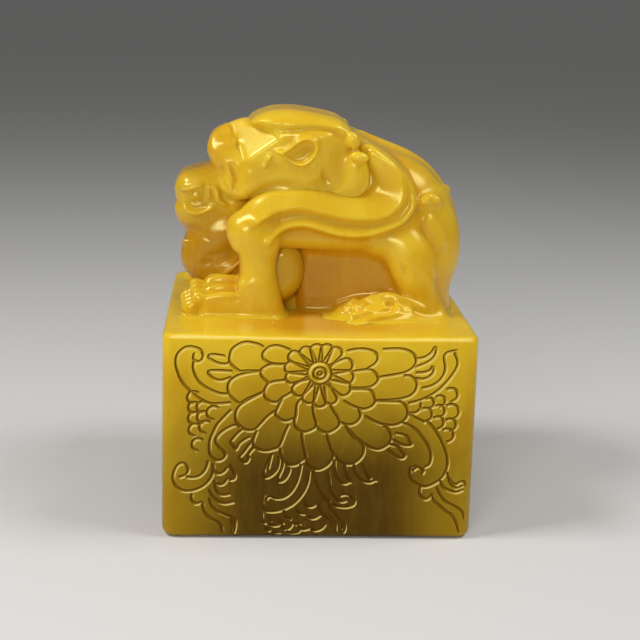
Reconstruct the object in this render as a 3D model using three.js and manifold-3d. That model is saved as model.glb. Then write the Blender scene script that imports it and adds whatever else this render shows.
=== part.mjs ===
// Seal stamp of polished yellow stone: a square block whose knob is carved as a beast standing over her cub.
// Millimetres, +Z up. The origin is the middle of the printing face, and both beasts look towards -X.
// "Near" is the -Y side and "far" is the +Y side. Heights on the beasts are measured from the top of the block.
import * as THREE from "three";
import { mergeVertices } from "three/addons/utils/BufferGeometryUtils.js";
import Module from "manifold-3d";

const wasm = await Module();
wasm.setup();

// Block
const BLOCK_WIDTH = 60;
const BLOCK_DEPTH = 60;
const BLOCK_HEIGHT = 40.5;
const CORNER_RADIUS = 2.6;
const TOP_EDGE_RADIUS = 1;
const FOOT_EDGE_RADIUS = 1.3;
const CORNER_STEPS = 2;

// Valleys between carved forms are this wide where one form meets the next.
const VALLEY = 0.3;

// Facets closer together than this are merged, which keeps the skins light.
const FACET_TOLERANCE = 0.07;

// Mother: the plane that parts her two sides, and the girths and heights of her forms
const MOTHER_MID_Y = 2;
const TRUNK_HALF_WIDTH = 13;
const TRUNK_HALF_HEIGHT = 11;
const BACK_HEIGHT = 23.6;
const RUMP_X = 22;
const BELLY_WALL_HALF_WIDTH = 10.6;
const HEAD_HALF_WIDTH = 10;
const HEAD_HEIGHT = 30.6;
const HEAD_TURN_Y = -3.5;
const CREST_HALF_WIDTH = 10.4;
const EAR_HALF_THICKNESS = 2.3;
const EAR_CUP_DEPTH = 0.6;
const CURL_HALF_THICKNESS = 2.6;
const KNOB_RADIUS = 1.7;
const FLAME_PROUD = 2.7;
const FLAME_GROOVE_RADIUS = 0.75;
const SHOULDER_RADIUS = 4;
const FORELEG_HALF_WIDTH = 5.6;
const TOE_RADIUS = 1.3;
const TOE_COUNT = 4;
const THIGH_HALF_WIDTH = 4.6;
const FOOT_HALF_WIDTH = 6.4;
const TAIL_RADIUS = 1.2;

// Cub: its head lies this far under the mother's
const CUB_HEAD_DROP = 9;
const CUB_HEAD_HALF_WIDTH = 7.4;
const CUB_EYE_RADIUS = 1.7;
const CUB_TRUNK_HALF_WIDTH = 7.2;
const CUB_LEG_RADIUS = 3.1;
const CUB_HAUNCH_HALF_WIDTH = 5.6;

const X = new THREE.Vector3(1, 0, 0);
const Y = new THREE.Vector3(0, 1, 0);

// A closed mesh as a solid that can be joined and cut.
function toSolid(geometry) {
  geometry.deleteAttribute("normal");
  geometry.deleteAttribute("uv");
  const merged = mergeVertices(geometry, 1e-5);
  return new wasm.Manifold(new wasm.Mesh({
    numProp: 3,
    vertProperties: new Float32Array(merged.getAttribute("position").array),
    triVerts: new Uint32Array(merged.index.array),
  }));
}

// The largest single body of a solid, as a mesh geometry.
function toGeometry(solid) {
  const bodies = solid.decompose().sort((one, other) => other.volume() - one.volume());
  const mesh = bodies[0].getMesh();
  const geometry = new THREE.BufferGeometry();
  geometry.setAttribute("position", new THREE.BufferAttribute(mesh.vertProperties, 3));
  geometry.setIndex(new THREE.BufferAttribute(mesh.triVerts, 1));
  geometry.computeVertexNormals();
  return geometry;
}

// A closed skin of oval sections carried along a smooth curve, with rounded ends.
// A station is [x, y, z, half width along `side`, half width square to it]. `grow` thickens the whole skin.
function loft(stations, { side = Y, sides = 12, steps = 2, capSteps = 3, grow = 0 } = {}) {
  const centres = new THREE.CatmullRomCurve3(stations.map(([x, y, z]) => new THREE.Vector3(x, y, z)));
  const widths = new THREE.CatmullRomCurve3(
    stations.map(([, , , across, along]) => new THREE.Vector3(across, along, 0)), false, "catmullrom", 0.5);
  const sections = [];
  const addSection = (t, push, scale) => {
    const tangent = centres.getTangent(t);
    const across = side.clone().addScaledVector(tangent, -side.dot(tangent)).normalize();
    const along = tangent.clone().cross(across);
    const width = widths.getPoint(t);
    const centre = centres.getPoint(t).addScaledVector(tangent, push * ((width.x + width.y) / 2 + grow));
    sections.push({ centre, across, along, a: (width.x + grow) * scale, b: (width.y + grow) * scale });
  };
  const last = (stations.length - 1) * steps;
  for (let i = 1; i < capSteps; i++) addSection(0, -Math.cos(i / capSteps * Math.PI / 2), Math.sin(i / capSteps * Math.PI / 2));
  for (let i = 0; i <= last; i++) addSection(i / last, 0, 1);
  for (let i = capSteps - 1; i > 0; i--) addSection(1, Math.cos(i / capSteps * Math.PI / 2), Math.sin(i / capSteps * Math.PI / 2));
  return skin(sections, sides, grow);
}

// Joins the rings of a loft and closes both ends at a pole.
function skin(sections, sides, grow) {
  const points = [];
  for (const { centre, across, along, a, b } of sections) {
    for (let j = 0; j < sides; j++) {
      const angle = j / sides * Math.PI * 2;
      points.push(centre.clone().addScaledVector(across, a * Math.cos(angle)).addScaledVector(along, b * Math.sin(angle)));
    }
  }
  const first = sections[0];
  const end = sections[sections.length - 1];
  const pole = (section, way) => {
    const tangent = section.across.clone().cross(section.along);
    return section.centre.clone().addScaledVector(tangent, way * 0.16 * (section.a + section.b));
  };
  points.push(pole(first, -1), pole(end, 1));
  const faces = [];
  const tail = (sections.length - 1) * sides;
  for (let i = 0; i < sections.length - 1; i++) {
    for (let j = 0; j < sides; j++) {
      const a = i * sides + j;
      const b = i * sides + (j + 1) % sides;
      faces.push(a, b, b + sides, a, b + sides, a + sides);
    }
  }
  for (let j = 0; j < sides; j++) {
    faces.push(points.length - 2, (j + 1) % sides, j);
    faces.push(points.length - 1, tail + j, tail + (j + 1) % sides);
  }
  const geometry = new THREE.BufferGeometry().setFromPoints(points);
  geometry.setIndex(faces);
  return toSolid(geometry);
}

// A smooth egg with its own half sizes.
function egg([x, y, z], [halfX, halfY, halfZ], grow = 0, detail = 8) {
  const geometry = new THREE.SphereGeometry(1, detail, Math.round(detail * 0.7));
  geometry.scale(halfX + grow, halfY + grow, halfZ + grow);
  geometry.translate(x, y, z);
  return toSolid(geometry);
}

// A form cut along an outline drawn on the side view, in x and z, with two flat faces and rounded edges.
// Middle and half give the y between the faces and half the thickness, each as a value at x = z = 0 and its
// growth along x and z. Round is the reach of the rounded edge across the outline, then through the thickness.
function slab(outline, { middle, half, round = [1.5, 1.5], count = 20, steps = 2, grow = 0 }) {
  const [across, through] = round;
  const curve = new THREE.CatmullRomCurve3(outline.map(([x, z]) => new THREE.Vector3(x, z, 0)), true);
  const corners = curve.getSpacedPoints(count).slice(0, -1).map((p) => new THREE.Vector2(p.x, p.y));
  if (THREE.ShapeUtils.isClockWise(corners)) corners.reverse();
  const outward = corners.map((_, i) => {
    const along = corners[(i + 1) % count].clone().sub(corners[(i + count - 1) % count]);
    return new THREE.Vector2(along.y, -along.x).normalize();
  });
  const edge = Array.from({ length: steps + 1 }, (_, i) => {
    const angle = i / steps * Math.PI / 2;
    return [grow - across * (1 - Math.sin(angle)), 1 - through / half[0] * (1 - Math.cos(angle))];
  });
  const rings = [...edge, ...edge.map(([push, share]) => [push, -share]).reverse()];
  const points = rings.flatMap(([push, share]) => corners.map((corner, i) => {
    const x = corner.x + outward[i].x * push;
    const z = corner.y + outward[i].y * push;
    const thick = half[0] + half[1] * x + half[2] * z + grow;
    return [x, middle[0] + middle[1] * x + middle[2] * z - share * thick, z];
  }));
  const faces = [];
  for (let i = 0; i < rings.length - 1; i++) {
    for (let j = 0; j < count; j++) {
      const a = i * count + j;
      const b = i * count + (j + 1) % count;
      faces.push(a, b + count, b, a, a + count, b + count);
    }
  }
  const last = (rings.length - 1) * count;
  for (const [a, b, c] of THREE.ShapeUtils.triangulateShape(corners, [])) {
    faces.push(a, b, c, last + c, last + b, last + a);
  }
  return new wasm.Manifold(new wasm.Mesh({
    numProp: 3,
    vertProperties: new Float32Array(points.flat()),
    triVerts: new Uint32Array(faces),
  }));
}

// An outline moved along x and up.
function moved(outline, byX, byZ) {
  return outline.map(([x, z]) => [x + byX, z + byZ]);
}

function join(solids) {
  return solids.reduce((whole, solid) => whole.add(solid));
}

// Everything below the top of the block, which trims the beasts' soles flat.
function ground() {
  const geometry = new THREE.BoxGeometry(3 * BLOCK_WIDTH, 3 * BLOCK_DEPTH, BLOCK_HEIGHT);
  geometry.translate(0, 0, -BLOCK_HEIGHT / 2);
  return toSolid(geometry);
}

// Block: a rounded square carried up, with softer edges at its top and foot.
function blockGeometry() {
  const outline = (inset) => {
    const halfX = BLOCK_WIDTH / 2 - inset;
    const halfY = BLOCK_DEPTH / 2 - inset;
    const radius = Math.max(CORNER_RADIUS - inset, 0.4);
    const shape = new THREE.Shape();
    shape.absarc(halfX - radius, halfY - radius, radius, 0, Math.PI / 2);
    shape.absarc(radius - halfX, halfY - radius, radius, Math.PI / 2, Math.PI);
    shape.absarc(radius - halfX, radius - halfY, radius, Math.PI, 1.5 * Math.PI);
    shape.absarc(halfX - radius, radius - halfY, radius, 1.5 * Math.PI, 2 * Math.PI);
    return shape.getPoints(CORNER_STEPS).slice(0, -1);
  };
  const rings = [];
  const edgeSteps = 3;
  for (let i = 0; i <= edgeSteps; i++) {
    const angle = i / edgeSteps * Math.PI / 2;
    rings.push([FOOT_EDGE_RADIUS * (1 - Math.sin(angle)), FOOT_EDGE_RADIUS * (1 - Math.cos(angle))]);
  }
  for (let i = 0; i <= edgeSteps; i++) {
    const angle = i / edgeSteps * Math.PI / 2;
    rings.push([TOP_EDGE_RADIUS * (1 - Math.cos(angle)), BLOCK_HEIGHT - TOP_EDGE_RADIUS * (1 - Math.sin(angle))]);
  }
  const points = rings.flatMap(([inset, z]) => outline(inset).map((p) => new THREE.Vector3(p.x, p.y, z)));
  const count = points.length / rings.length;
  const faces = [];
  for (let i = 0; i < rings.length - 1; i++) {
    for (let j = 0; j < count; j++) {
      const a = i * count + j;
      const b = i * count + (j + 1) % count;
      faces.push(a, b, b + count, a, b + count, a + count);
    }
  }
  const top = (rings.length - 1) * count;
  points.push(new THREE.Vector3(0, 0, 0), new THREE.Vector3(0, 0, BLOCK_HEIGHT));
  for (let j = 0; j < count; j++) {
    faces.push(points.length - 2, (j + 1) % count, j);
    faces.push(points.length - 1, top + j, top + (j + 1) % count);
  }
  const geometry = new THREE.BufferGeometry().setFromPoints(points);
  geometry.setIndex(faces);
  geometry.computeVertexNormals();
  return geometry;
}

// Mother's trunk: chest, arched back and rump, the round of her flank, and the stone left standing under her belly.
function motherBody(grow) {
  const w = TRUNK_HALF_WIDTH;
  const h = TRUNK_HALF_HEIGHT;
  const y = MOTHER_MID_Y;
  const trunk = loft([
    [-5, y, BACK_HEIGHT - 1.8, w - 1, h - 2.4],
    [0, y, BACK_HEIGHT - 0.8, w, h - 0.8],
    [6, y, BACK_HEIGHT, w + 0.4, h],
    [12, y, BACK_HEIGHT - 1.6, w + 0.4, h],
    [RUMP_X - 4, y, BACK_HEIGHT - 5.4, w + 0.4, h - 1],
    [RUMP_X - 0.6, y, BACK_HEIGHT - 13, w, h - 3.2],
    [RUMP_X, y, 1, w - 1.6, h - 5.8],
  ], { sides: 16, grow });
  const flank = slab(moved([
    [-11, -10], [-4, -10.9], [4, -11.2], [10.5, -11.4], [15, -13.2], [19, -9.6], [19, -3.6], [8, -2.6], [-6, -2.6],
    [-12, -5.6],
  ], 0, BACK_HEIGHT), { middle: [y, 0, 0], half: [w + 1.2, 0, 0], round: [2.2, 3], grow });
  const bellyWall = slab([
    [-2.4, -3], [20, -3], [20, 16], [8, 17.4], [-2.4, 16],
  ], { middle: [y, 0, 0], half: [BELLY_WALL_HALF_WIDTH, 0.16, 0], round: [1, 1], count: 10, steps: 1, grow });
  return join([trunk, flank, bellyWall]);
}

// A solid with flat faces, stretched over points that lie on one side of the head.
function wedge(points, way) {
  return wasm.Manifold.hull(points.map(([x, y, z]) => [x, HEAD_TURN_Y + way * y, HEAD_HEIGHT + z]));
}

// Mother's head: neck, skull and the narrower muzzle, cut flat at the brow and beside the nose.
function motherHead(grow) {
  const y = HEAD_TURN_Y;
  const w = HEAD_HALF_WIDTH;
  const z = HEAD_HEIGHT;
  const neck = slab(moved([
    [-10, -6.6], [-4, -6], [4, -5.6], [9, -3.6], [9.6, 0.4], [8.2, 3], [5.4, 4], [0, 4], [-8, 3.8], [-12, 3.6],
  ], 0, z), { middle: [y + 2.9, 0, 0], half: [w + 0.6, 0, 0], round: [3, 4], grow });
  const skull = slab(moved([
    [-16.8, 2.4], [-15, -0.6], [-15.6, -3.6], [-16, -6.6], [-14.8, -8], [-13, -6.9], [-10.8, -5.6], [-7, -4.8],
    [-2.3, -5.2], [-0.4, -2.9], [0.4, 0.4], [-0.4, 3.8], [-4.3, 4], [-8.4, 3.8], [-11, 5.6], [-13.8, 7.2],
    [-15.8, 5.8],
  ], 0, z), { middle: [y, 0, 0], half: [w, 0.1, 0], round: [1.4, 2.4], grow });
  const muzzle = slab(moved([
    [-13.9, 7], [-17, 6.8], [-20.5, 5.3], [-22.1, 3], [-22.4, 1.5], [-21.8, -1], [-20.6, -3.2], [-20.2, -5.4],
    [-18.6, -7.6], [-14.8, -8.4], [-11, -5.6], [-10, -0.6], [-11, 5.4],
  ], 0, z), { middle: [y, 0, 0], half: [w + 1.4, 0.24, 0], round: [2.4, 3.2], grow });
  const whole = join([neck, skull, muzzle]);
  const cuts = [-1, 1].flatMap((way) => [
    wedge([
      [-14.9, 8.4, -0.2], [-8.4, 9.1, 4], [-14.1, 3.5, 6], [-7.6, 4.2, 10.2],
      [-17.6, 12.4, 3.3], [-11.1, 13.1, 7.5], [-16.8, 7.5, 9.5], [-10.3, 8.2, 13.7],
    ], way),
    wedge([
      [-24, 8.5, -2.5], [-15.4, 8.5, -1.2], [-24, 1.5, 6.2], [-15.4, 1.5, 7.6],
      [-24.6, 13.2, 1.2], [-16, 13.2, 2.5], [-24.6, 6.2, 9.9], [-16, 6.2, 11.3],
    ], way),
  ]);
  return grow > 0 ? whole : cuts.reduce((left, cut) => left.subtract(cut), whole);
}

// Crest of hair that sweeps back over the brow like a drop lying on its side.
function motherCrest(grow) {
  const z = HEAD_HEIGHT;
  const y = HEAD_TURN_Y + 0.6;
  return slab(moved([
    [-14.2, 6.8], [-13.2, 8.1], [-11.5, 8.9], [-9.4, 9.5], [-6, 9.7], [-2.2, 9.3], [2.7, 8.3], [4.8, 7.2], [6.3, 5.6],
    [5.6, 4.6], [3.2, 4.8], [-0.6, 4.6], [-4.3, 4.2], [-7.9, 3.8], [-10.2, 5], [-12.2, 6.2],
  ], 0, z), { middle: [y, 0, 0], half: [CREST_HALF_WIDTH, 0.06, 0], round: [1.4, 2.8], count: 22, grow });
}

// An ear: a leaf that points forward, hollowed to a shallow cup.
function motherEar(way, grow) {
  const out = HEAD_TURN_Y + 2 + way * (HEAD_HALF_WIDTH - 0.5);
  const thick = EAR_HALF_THICKNESS;
  const leaf = slab(moved([
    [-9.2, 1.9], [-7.5, 2.1], [-6.2, 3], [-4.9, 4.3], [-3, 5], [-1.2, 4.5], [-0.5, 3], [-0.9, 1.4], [-2, -0.1],
    [-3.4, -1], [-5.2, -0.6], [-7.2, 0.7],
  ], 0, HEAD_HEIGHT), { middle: [out, 0, 0], half: [thick, 0.05, 0], round: [0.6, 0.8], count: 16, steps: 1, grow });
  if (grow > 0) return leaf;
  const cup = slab(moved([
    [-7.4, 1.4], [-6, 2.4], [-4.7, 3.5], [-3, 4.2], [-1.8, 3.7], [-1.3, 2.7], [-1.6, 1.5], [-2.5, 0.4], [-3.8, -0.4],
    [-5.4, -0.4], [-6.8, 0.4],
  ], 0, HEAD_HEIGHT), {
    middle: [out + way * (2 * thick - EAR_CUP_DEPTH - 0.2), 0, 0], half: [thick, 0, 0], round: [0.8, 0.8], count: 14, steps: 1,
  });
  return leaf.subtract(cup);
}

// A lock of the mane that hangs behind the cheek as a broad drop, with two round knobs at its top.
function motherCurl(way, grow) {
  const out = (depth) => MOTHER_MID_Y + way * depth;
  const z = HEAD_HEIGHT;
  const t = CURL_HALF_THICKNESS;
  const lock = slab(moved([
    [-1, 4.4], [1.4, 5.8], [4.6, 5.4], [5.6, 2.4], [8.6, 2], [9.6, -1], [9.8, -4.8], [8.4, -6.8], [5.5, -7.6],
    [2, -7], [0.2, -5.6], [-0.6, -1.8],
  ], 0, z), { middle: [out(11.6), 0, 0], half: [t, 0.1, 0], round: [1.2, 1.6], grow });
  const knobs = [
    egg([5.9, out(10.6 + t), z + 4.1], [KNOB_RADIUS - 0.2, KNOB_RADIUS + 0.4, KNOB_RADIUS], grow, 7),
    egg([7.2, out(11.8 + t), z + 1.2], [KNOB_RADIUS, KNOB_RADIUS - 0.1, KNOB_RADIUS - 0.5], grow, 7),
  ];
  return join([lock, ...knobs]);
}

// Flame band: it leaves the back behind the neck, swings round the flank and runs forward to the shoulder.
function motherFlame(way, grow) {
  const out = (depth) => MOTHER_MID_Y + way * depth;
  const z = BACK_HEIGHT;
  const face = (height) => TRUNK_HALF_WIDTH + FLAME_PROUD + 0.15 * (z - 5.6 - height);
  const band = slab(moved([
    [7.6, 10], [10.5, 9.6], [13.2, 8.2], [15.8, 6], [17.6, 3.6], [18.8, 1], [18.9, -1.4], [18.1, -3.4], [16.5, -5.1],
    [13.9, -6.5], [10, -7.8], [6, -8.1], [2, -7.5], [-2, -6.4], [-4.6, -6.2], [-7.2, -7], [-9.4, -9], [-12.4, -9.6],
    [-15.4, -7.6], [-15.8, -4.2], [-13.8, -1.2], [-10, 1], [-3, 1.8], [3, 1], [8, 0.8], [10, 2.8], [10, 5.4],
    [8.6, 7.8],
  ], 0, z), {
    middle: [out(face(0) - 4), 0, -way * 0.15], half: [4, 0, 0], round: [1.4, 1.8], count: 30, grow,
  });
  if (grow > 0) return band;
  const groove = loft([
    [15.4, 5.4], [17.2, 2.2], [17.3, -0.8], [15.6, -3.4], [11.4, -5.4], [7, -6], [2, -5.2], [-3, -4.2], [-8, -4.8],
  ].map(([x, up]) => [x, out(face(z + up) + 0.1), z + up, FLAME_GROOVE_RADIUS, FLAME_GROOVE_RADIUS]),
  { sides: 4, steps: 1, capSteps: 1 });
  return band.subtract(groove);
}

// Toes that fan out from a paw, each an arched lobe with its own claw.
function toes([x, y, z], heading, fan, length, radius, grow) {
  return Array.from({ length: TOE_COUNT }, (_, i) => {
    const share = i / (TOE_COUNT - 1) - 0.5;
    const angle = heading + share * 0.5;
    const ahead = new THREE.Vector3(Math.cos(angle), Math.sin(angle), 0);
    const across = new THREE.Vector3(-Math.sin(heading), Math.cos(heading), 0);
    const root = new THREE.Vector3(x, y, z).addScaledVector(across, share * fan);
    const at = (reach, height, r) => [root.x + ahead.x * reach, root.y + ahead.y * reach, height, r, r];
    return loft([
      at(0, z, radius),
      at(length * 0.55, z, radius + 0.1),
      at(length, radius - 0.2, radius - 0.3),
    ], { side: across, sides: 5, steps: 1, capSteps: 2, grow });
  });
}

// Foreleg: a round shoulder, a straight column and the paw that points forward, its back sloping outward.
function motherForeleg(way, grow) {
  const out = (depth) => MOTHER_MID_Y + way * depth;
  const w = FORELEG_HALF_WIDTH;
  const column = slab([
    [-8.6, 15.3], [-10.4, 17.6], [-13, 19.6], [-15.1, 20], [-17.1, 19], [-17.8, 17.2], [-17.4, 15.4], [-16.6, 14],
    [-15.9, 11.9], [-15.8, 9.2], [-16, 6.5], [-16, 1], [-16, -4], [-7.4, -4], [-7.4, 2.4], [-8.8, 6.5], [-9.4, 9.2],
    [-9.1, 11.9],
  ], { middle: [out(6 + w), 0, 0], half: [w, 0, 0], round: [2, 3], count: 22, grow });
  const shoulder = egg([-13.2, out(9 + w), 16.4], [SHOULDER_RADIUS, SHOULDER_RADIUS - 1, SHOULDER_RADIUS], grow);
  const paw = slab([
    [-23.4, -4], [-23.2, 2.6], [-22, 5.6], [-20.8, 7.4], [-17, 8.4], [-13.6, 8.6], [-11, 7], [-10, -4],
  ], { middle: [out(7 + w), 0, -way * 0.3], half: [w - 0.2, 0, -0.3], round: [1.4, 1.6], count: 12, steps: 1, grow });
  const fan = toes([-21, out(8.4 + w), 4.4], Math.PI, 6, 4, TOE_RADIUS, grow);
  return join([column, shoulder, paw, ...fan]);
}

// Hind leg: a heavy thigh, and a long low foot whose toes fan out and forward.
function motherHindleg(way, grow) {
  const out = (depth) => MOTHER_MID_Y + way * depth;
  const thigh = slab([
    [9, 17], [14.5, 18.6], [18.1, 17.6], [20, 15.8], [21.8, 13.6], [23.2, 9.4], [24.6, 5.3], [25.2, 1.5], [25, -4],
    [14.6, -4], [15, 3], [15.6, 6], [14.6, 8.6], [12.4, 11], [9, 12.6],
  ], { middle: [out(15.2 - THIGH_HALF_WIDTH), 0, 0], half: [THIGH_HALF_WIDTH, 0, 0], round: [2.4, 3], grow });
  const w = FOOT_HALF_WIDTH;
  const foot = slab([
    [2.6, -3], [3.4, 0.6], [6, 2.2], [10, 3.6], [14.5, 4.8], [19.5, 5], [24, 3.4], [25, -3],
  ], { middle: [out(4.2 + w), -way * 0.06, -way * 0.5], half: [w, 0, -0.5], round: [1, 1.4], count: 12, steps: 1, grow });
  const fan = Array.from({ length: TOE_COUNT }, (_, i) => {
    const angle = way * (3 + 0.3 * i);
    const at = (reach, height) => [
      15.2 - 0.7 * i + reach * Math.cos(angle), out(6.8 + w + 1.1 * i) - reach * Math.sin(angle), height,
      TOE_RADIUS - 0.2, TOE_RADIUS - 0.2,
    ];
    return loft([at(0, 3.3 - 0.3 * i), at(3, 2.9 - 0.35 * i), at(5.6, 1.6), at(8, 0.6)], {
      side: new THREE.Vector3(Math.sin(angle), Math.cos(angle), 0), sides: 5, steps: 1, capSteps: 1, grow,
    });
  });
  return join([thigh, foot, ...fan]);
}

// Tail: rooted on the rump, it swings over the near flank and ends in a knotted tuft like a hanging drop.
function motherTail(grow) {
  const r = TAIL_RADIUS;
  const root = loft([
    [26, MOTHER_MID_Y - 4, 24, r, r],
    [24, MOTHER_MID_Y - 8, 23.9, r, r + 0.1],
    [22, MOTHER_MID_Y - 10, 23.4, r, r],
  ], { side: X, sides: 7, grow });
  const knot = slab([
    [19, 24.4], [21.4, 24.8], [23.8, 24.2], [24.2, 22.4], [22, 21.6], [19.2, 22],
  ], { middle: [MOTHER_MID_Y - 18, 0.45, 0], half: [6, 0, 0], round: [0.7, 0.9], count: 14, grow });
  const drop = slab([
    [21.6, 21.8], [20.4, 19], [20.2, 16.6], [21.2, 14.4], [23.2, 13.7], [24.8, 15], [24.8, 17.6], [23.8, 20],
  ], { middle: [MOTHER_MID_Y - 17.6, 0.45, 0], half: [6, 0, 0], round: [1, 1.2], count: 16, grow });
  return join([root, knot, drop]);
}

// Cub's trunk, which lies under the mother's chest.
function cubBody(grow) {
  return slab([
    [-25.8, 15.5], [-26.6, 13], [-26.8, 9], [-26.4, 4], [-26.2, -4], [-3, -4], [-3, 8], [-4.4, 12.4], [-10, 15],
    [-15, 18.6], [-20, 19.4], [-24, 18.4],
  ], { middle: [MOTHER_MID_Y, 0, 0], half: [CUB_TRUNK_HALF_WIDTH, 0, 0], round: [2.6, 3.6], grow });
}

// Cub's head: a round skull, with a brow, a bulging eye and a cheek on each side.
function cubHead(grow) {
  const w = CUB_HEAD_HALF_WIDTH;
  const z = HEAD_HEIGHT - CUB_HEAD_DROP;
  const skull = slab(moved([
    [-20.4, 7.1], [-23.2, 6.6], [-25.4, 6], [-27.4, 5.2], [-28.5, 3.7], [-28.9, 1.8], [-28.5, -0.4], [-28.9, -1.8],
    [-28.5, -3.6], [-27.6, -5.2], [-25, -6.6], [-19, -6.2], [-15.6, -2.6], [-15, 3.4], [-17, 6.4],
  ], 0, z), { middle: [0, 0, 0], half: [w, 0, 0], round: [3.4, 4.6], grow });
  const sidesOfFace = [-1, 1].flatMap((way) => [
    egg([-24.7, way * (w - 1.4), z + 0.4], [CUB_EYE_RADIUS, CUB_EYE_RADIUS - 0.2, CUB_EYE_RADIUS], grow, 8),
    loft([
      [-27.8, way * (w - 2.6), z + 2.3, 0.7, 0.6],
      [-24.6, way * (w - 0.7), z + 3, 0.8, 0.6],
      [-22.8, way * (w - 0.4), z + 2.6, 0.7, 0.5],
    ], { sides: 5, capSteps: 2, grow }),
    egg([-22.8, way * (w - 2.2), z - 4], [3.8, 2.4, 2.2], grow, 8),
  ]);
  return join([skull, ...sidesOfFace]);
}

function cubEar(way, grow) {
  const w = CUB_HEAD_HALF_WIDTH;
  const z = HEAD_HEIGHT - CUB_HEAD_DROP;
  return loft([
    [-21.9, way * (w - 0.4), z + 3.2, 0.8, 0.7],
    [-20.6, way * w, z + 2, 0.9, 1],
    [-19.8, way * w, z + 0.4, 0.9, 0.9],
    [-19.4, way * (w - 0.2), z - 0.4, 0.7, 0.6],
  ], { sides: 8, capSteps: 2, grow });
}

// Cub's foreleg, bent at the elbow with three toes folded against its chest.
function cubForeleg(way, grow) {
  const r = CUB_LEG_RADIUS;
  const y = MOTHER_MID_Y + 1 + way * 7.4;
  const leg = loft([
    [-20, y, 12.6, r, r],
    [-23.6, y, 11, r, r + 0.3],
    [-24.8, y, 8.2, r, r],
    [-24, y, 4.4, r, r],
    [-23.2, y, 1.5, r, r],
  ], { sides: 7, capSteps: 2, grow });
  const folded = [0, 1, 2].map((i) => loft([
    [-22.2, y + way * 2.6, 12.5 - 2.4 * i, 0.9, 1.1],
    [-24.8, y + way * 2.2, 12.8 - 2.4 * i, 1, 1.2],
    [-26.8, y + way, 12.6 - 2.4 * i, 0.9, 1],
  ], { sides: 5, steps: 1, capSteps: 2, grow }));
  return join([leg, ...folded]);
}

// Cub's haunch, which fills the arch between the mother's foreleg and belly.
function cubHaunch(way, grow) {
  return slab([
    [-8.4, 7.2], [-7.9, 10.6], [-6.4, 12.6], [-4.2, 12], [-2.9, 9], [-2.7, 5.2], [-4, 2], [-6.4, 0.6], [-8, 2.6],
  ], {
    middle: [MOTHER_MID_Y + way * 6, 0, 0], half: [CUB_HAUNCH_HALF_WIDTH, 0, 0], round: [2, 3], count: 18, grow,
  });
}

// Each form is trimmed by the ones listed before it, one valley away from their skins.
const FORMS = [
  ["mother_ear_near", (grow) => motherEar(-1, grow)],
  ["mother_ear_far", (grow) => motherEar(1, grow)],
  ["mother_crest", motherCrest],
  ["mother_curl_near", (grow) => motherCurl(-1, grow)],
  ["mother_curl_far", (grow) => motherCurl(1, grow)],
  ["mother_foreleg_near", (grow) => motherForeleg(-1, grow)],
  ["mother_foreleg_far", (grow) => motherForeleg(1, grow)],
  ["mother_flame_near", (grow) => motherFlame(-1, grow)],
  ["mother_flame_far", (grow) => motherFlame(1, grow)],
  ["mother_tail", motherTail],
  ["mother_hindleg_near", (grow) => motherHindleg(-1, grow)],
  ["mother_hindleg_far", (grow) => motherHindleg(1, grow)],
  ["mother_body", motherBody],
  ["mother_head", motherHead],
  ["cub_ear_near", (grow) => cubEar(-1, grow)],
  ["cub_ear_far", (grow) => cubEar(1, grow)],
  ["cub_head", cubHead],
  ["cub_foreleg_near", (grow) => cubForeleg(-1, grow)],
  ["cub_foreleg_far", (grow) => cubForeleg(1, grow)],
  ["cub_haunch_near", (grow) => cubHaunch(-1, grow)],
  ["cub_haunch_far", (grow) => cubHaunch(1, grow)],
  ["cub_body", cubBody],
];

function stone(color) {
  return new THREE.MeshStandardMaterial({ color, roughness: 0.18, metalness: 0 });
}

const seal = new THREE.Group();

const block = new THREE.Mesh(blockGeometry(), stone(0xc9a012));
block.name = "seal_block";
seal.add(block);

const knob = new THREE.Group();
knob.position.z = BLOCK_HEIGHT;
seal.add(knob);

const carved = [];
for (const [name, form] of FORMS) {
  let solid = form(0).subtract(ground());
  for (const earlier of carved) solid = solid.subtract(earlier(VALLEY));
  carved.push(form);
  const mesh = new THREE.Mesh(toGeometry(solid.simplify(FACET_TOLERANCE)), stone(name.startsWith("cub") ? 0xdba21c : 0xe0a51f));
  mesh.name = name;
  knob.add(mesh);
}

export default seal;
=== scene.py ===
"""Seal stamp of polished yellow stone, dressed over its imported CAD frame.

The knob, a beast standing over her cub, is carved as a field of distances on a grid of points and then
skinned. The block is a rounded box whose front face is cut with a chrysanthemum among scrolls. Shapes are
worked out in millimetres from the middle of the printing face, and meshes are written in metres.
"""
from __future__ import annotations

import functools
import itertools
import logging
import math
from dataclasses import dataclass, replace
from enum import Enum

import bpy
import numpy as np
from mathutils import Matrix, Vector
from mathutils.geometry import delaunay_2d_cdt


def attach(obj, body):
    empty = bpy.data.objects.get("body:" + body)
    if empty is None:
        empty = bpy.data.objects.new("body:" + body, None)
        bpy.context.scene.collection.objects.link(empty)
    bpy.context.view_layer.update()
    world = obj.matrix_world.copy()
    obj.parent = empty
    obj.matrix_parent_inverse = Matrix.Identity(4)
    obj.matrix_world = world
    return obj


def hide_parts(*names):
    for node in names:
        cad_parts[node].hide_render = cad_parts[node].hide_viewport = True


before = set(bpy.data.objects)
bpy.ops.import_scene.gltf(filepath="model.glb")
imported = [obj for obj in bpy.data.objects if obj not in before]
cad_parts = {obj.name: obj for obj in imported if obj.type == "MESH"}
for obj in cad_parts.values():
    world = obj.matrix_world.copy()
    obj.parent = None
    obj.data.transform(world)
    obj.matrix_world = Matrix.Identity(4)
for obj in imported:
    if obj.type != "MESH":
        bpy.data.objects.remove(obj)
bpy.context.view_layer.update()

log = logging.getLogger("seal")

MM = 0.001
BLOCK_TOP = 40.5
# The plane between the two sides of the mother.
MID_Y = 2.0
# The distance noted where there is no stone near, and a length beyond all of it.
NO_STONE = 9.0
BEYOND = 99.0
# How far round a form its distances are worked out.
MARGIN = 1.2


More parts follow.
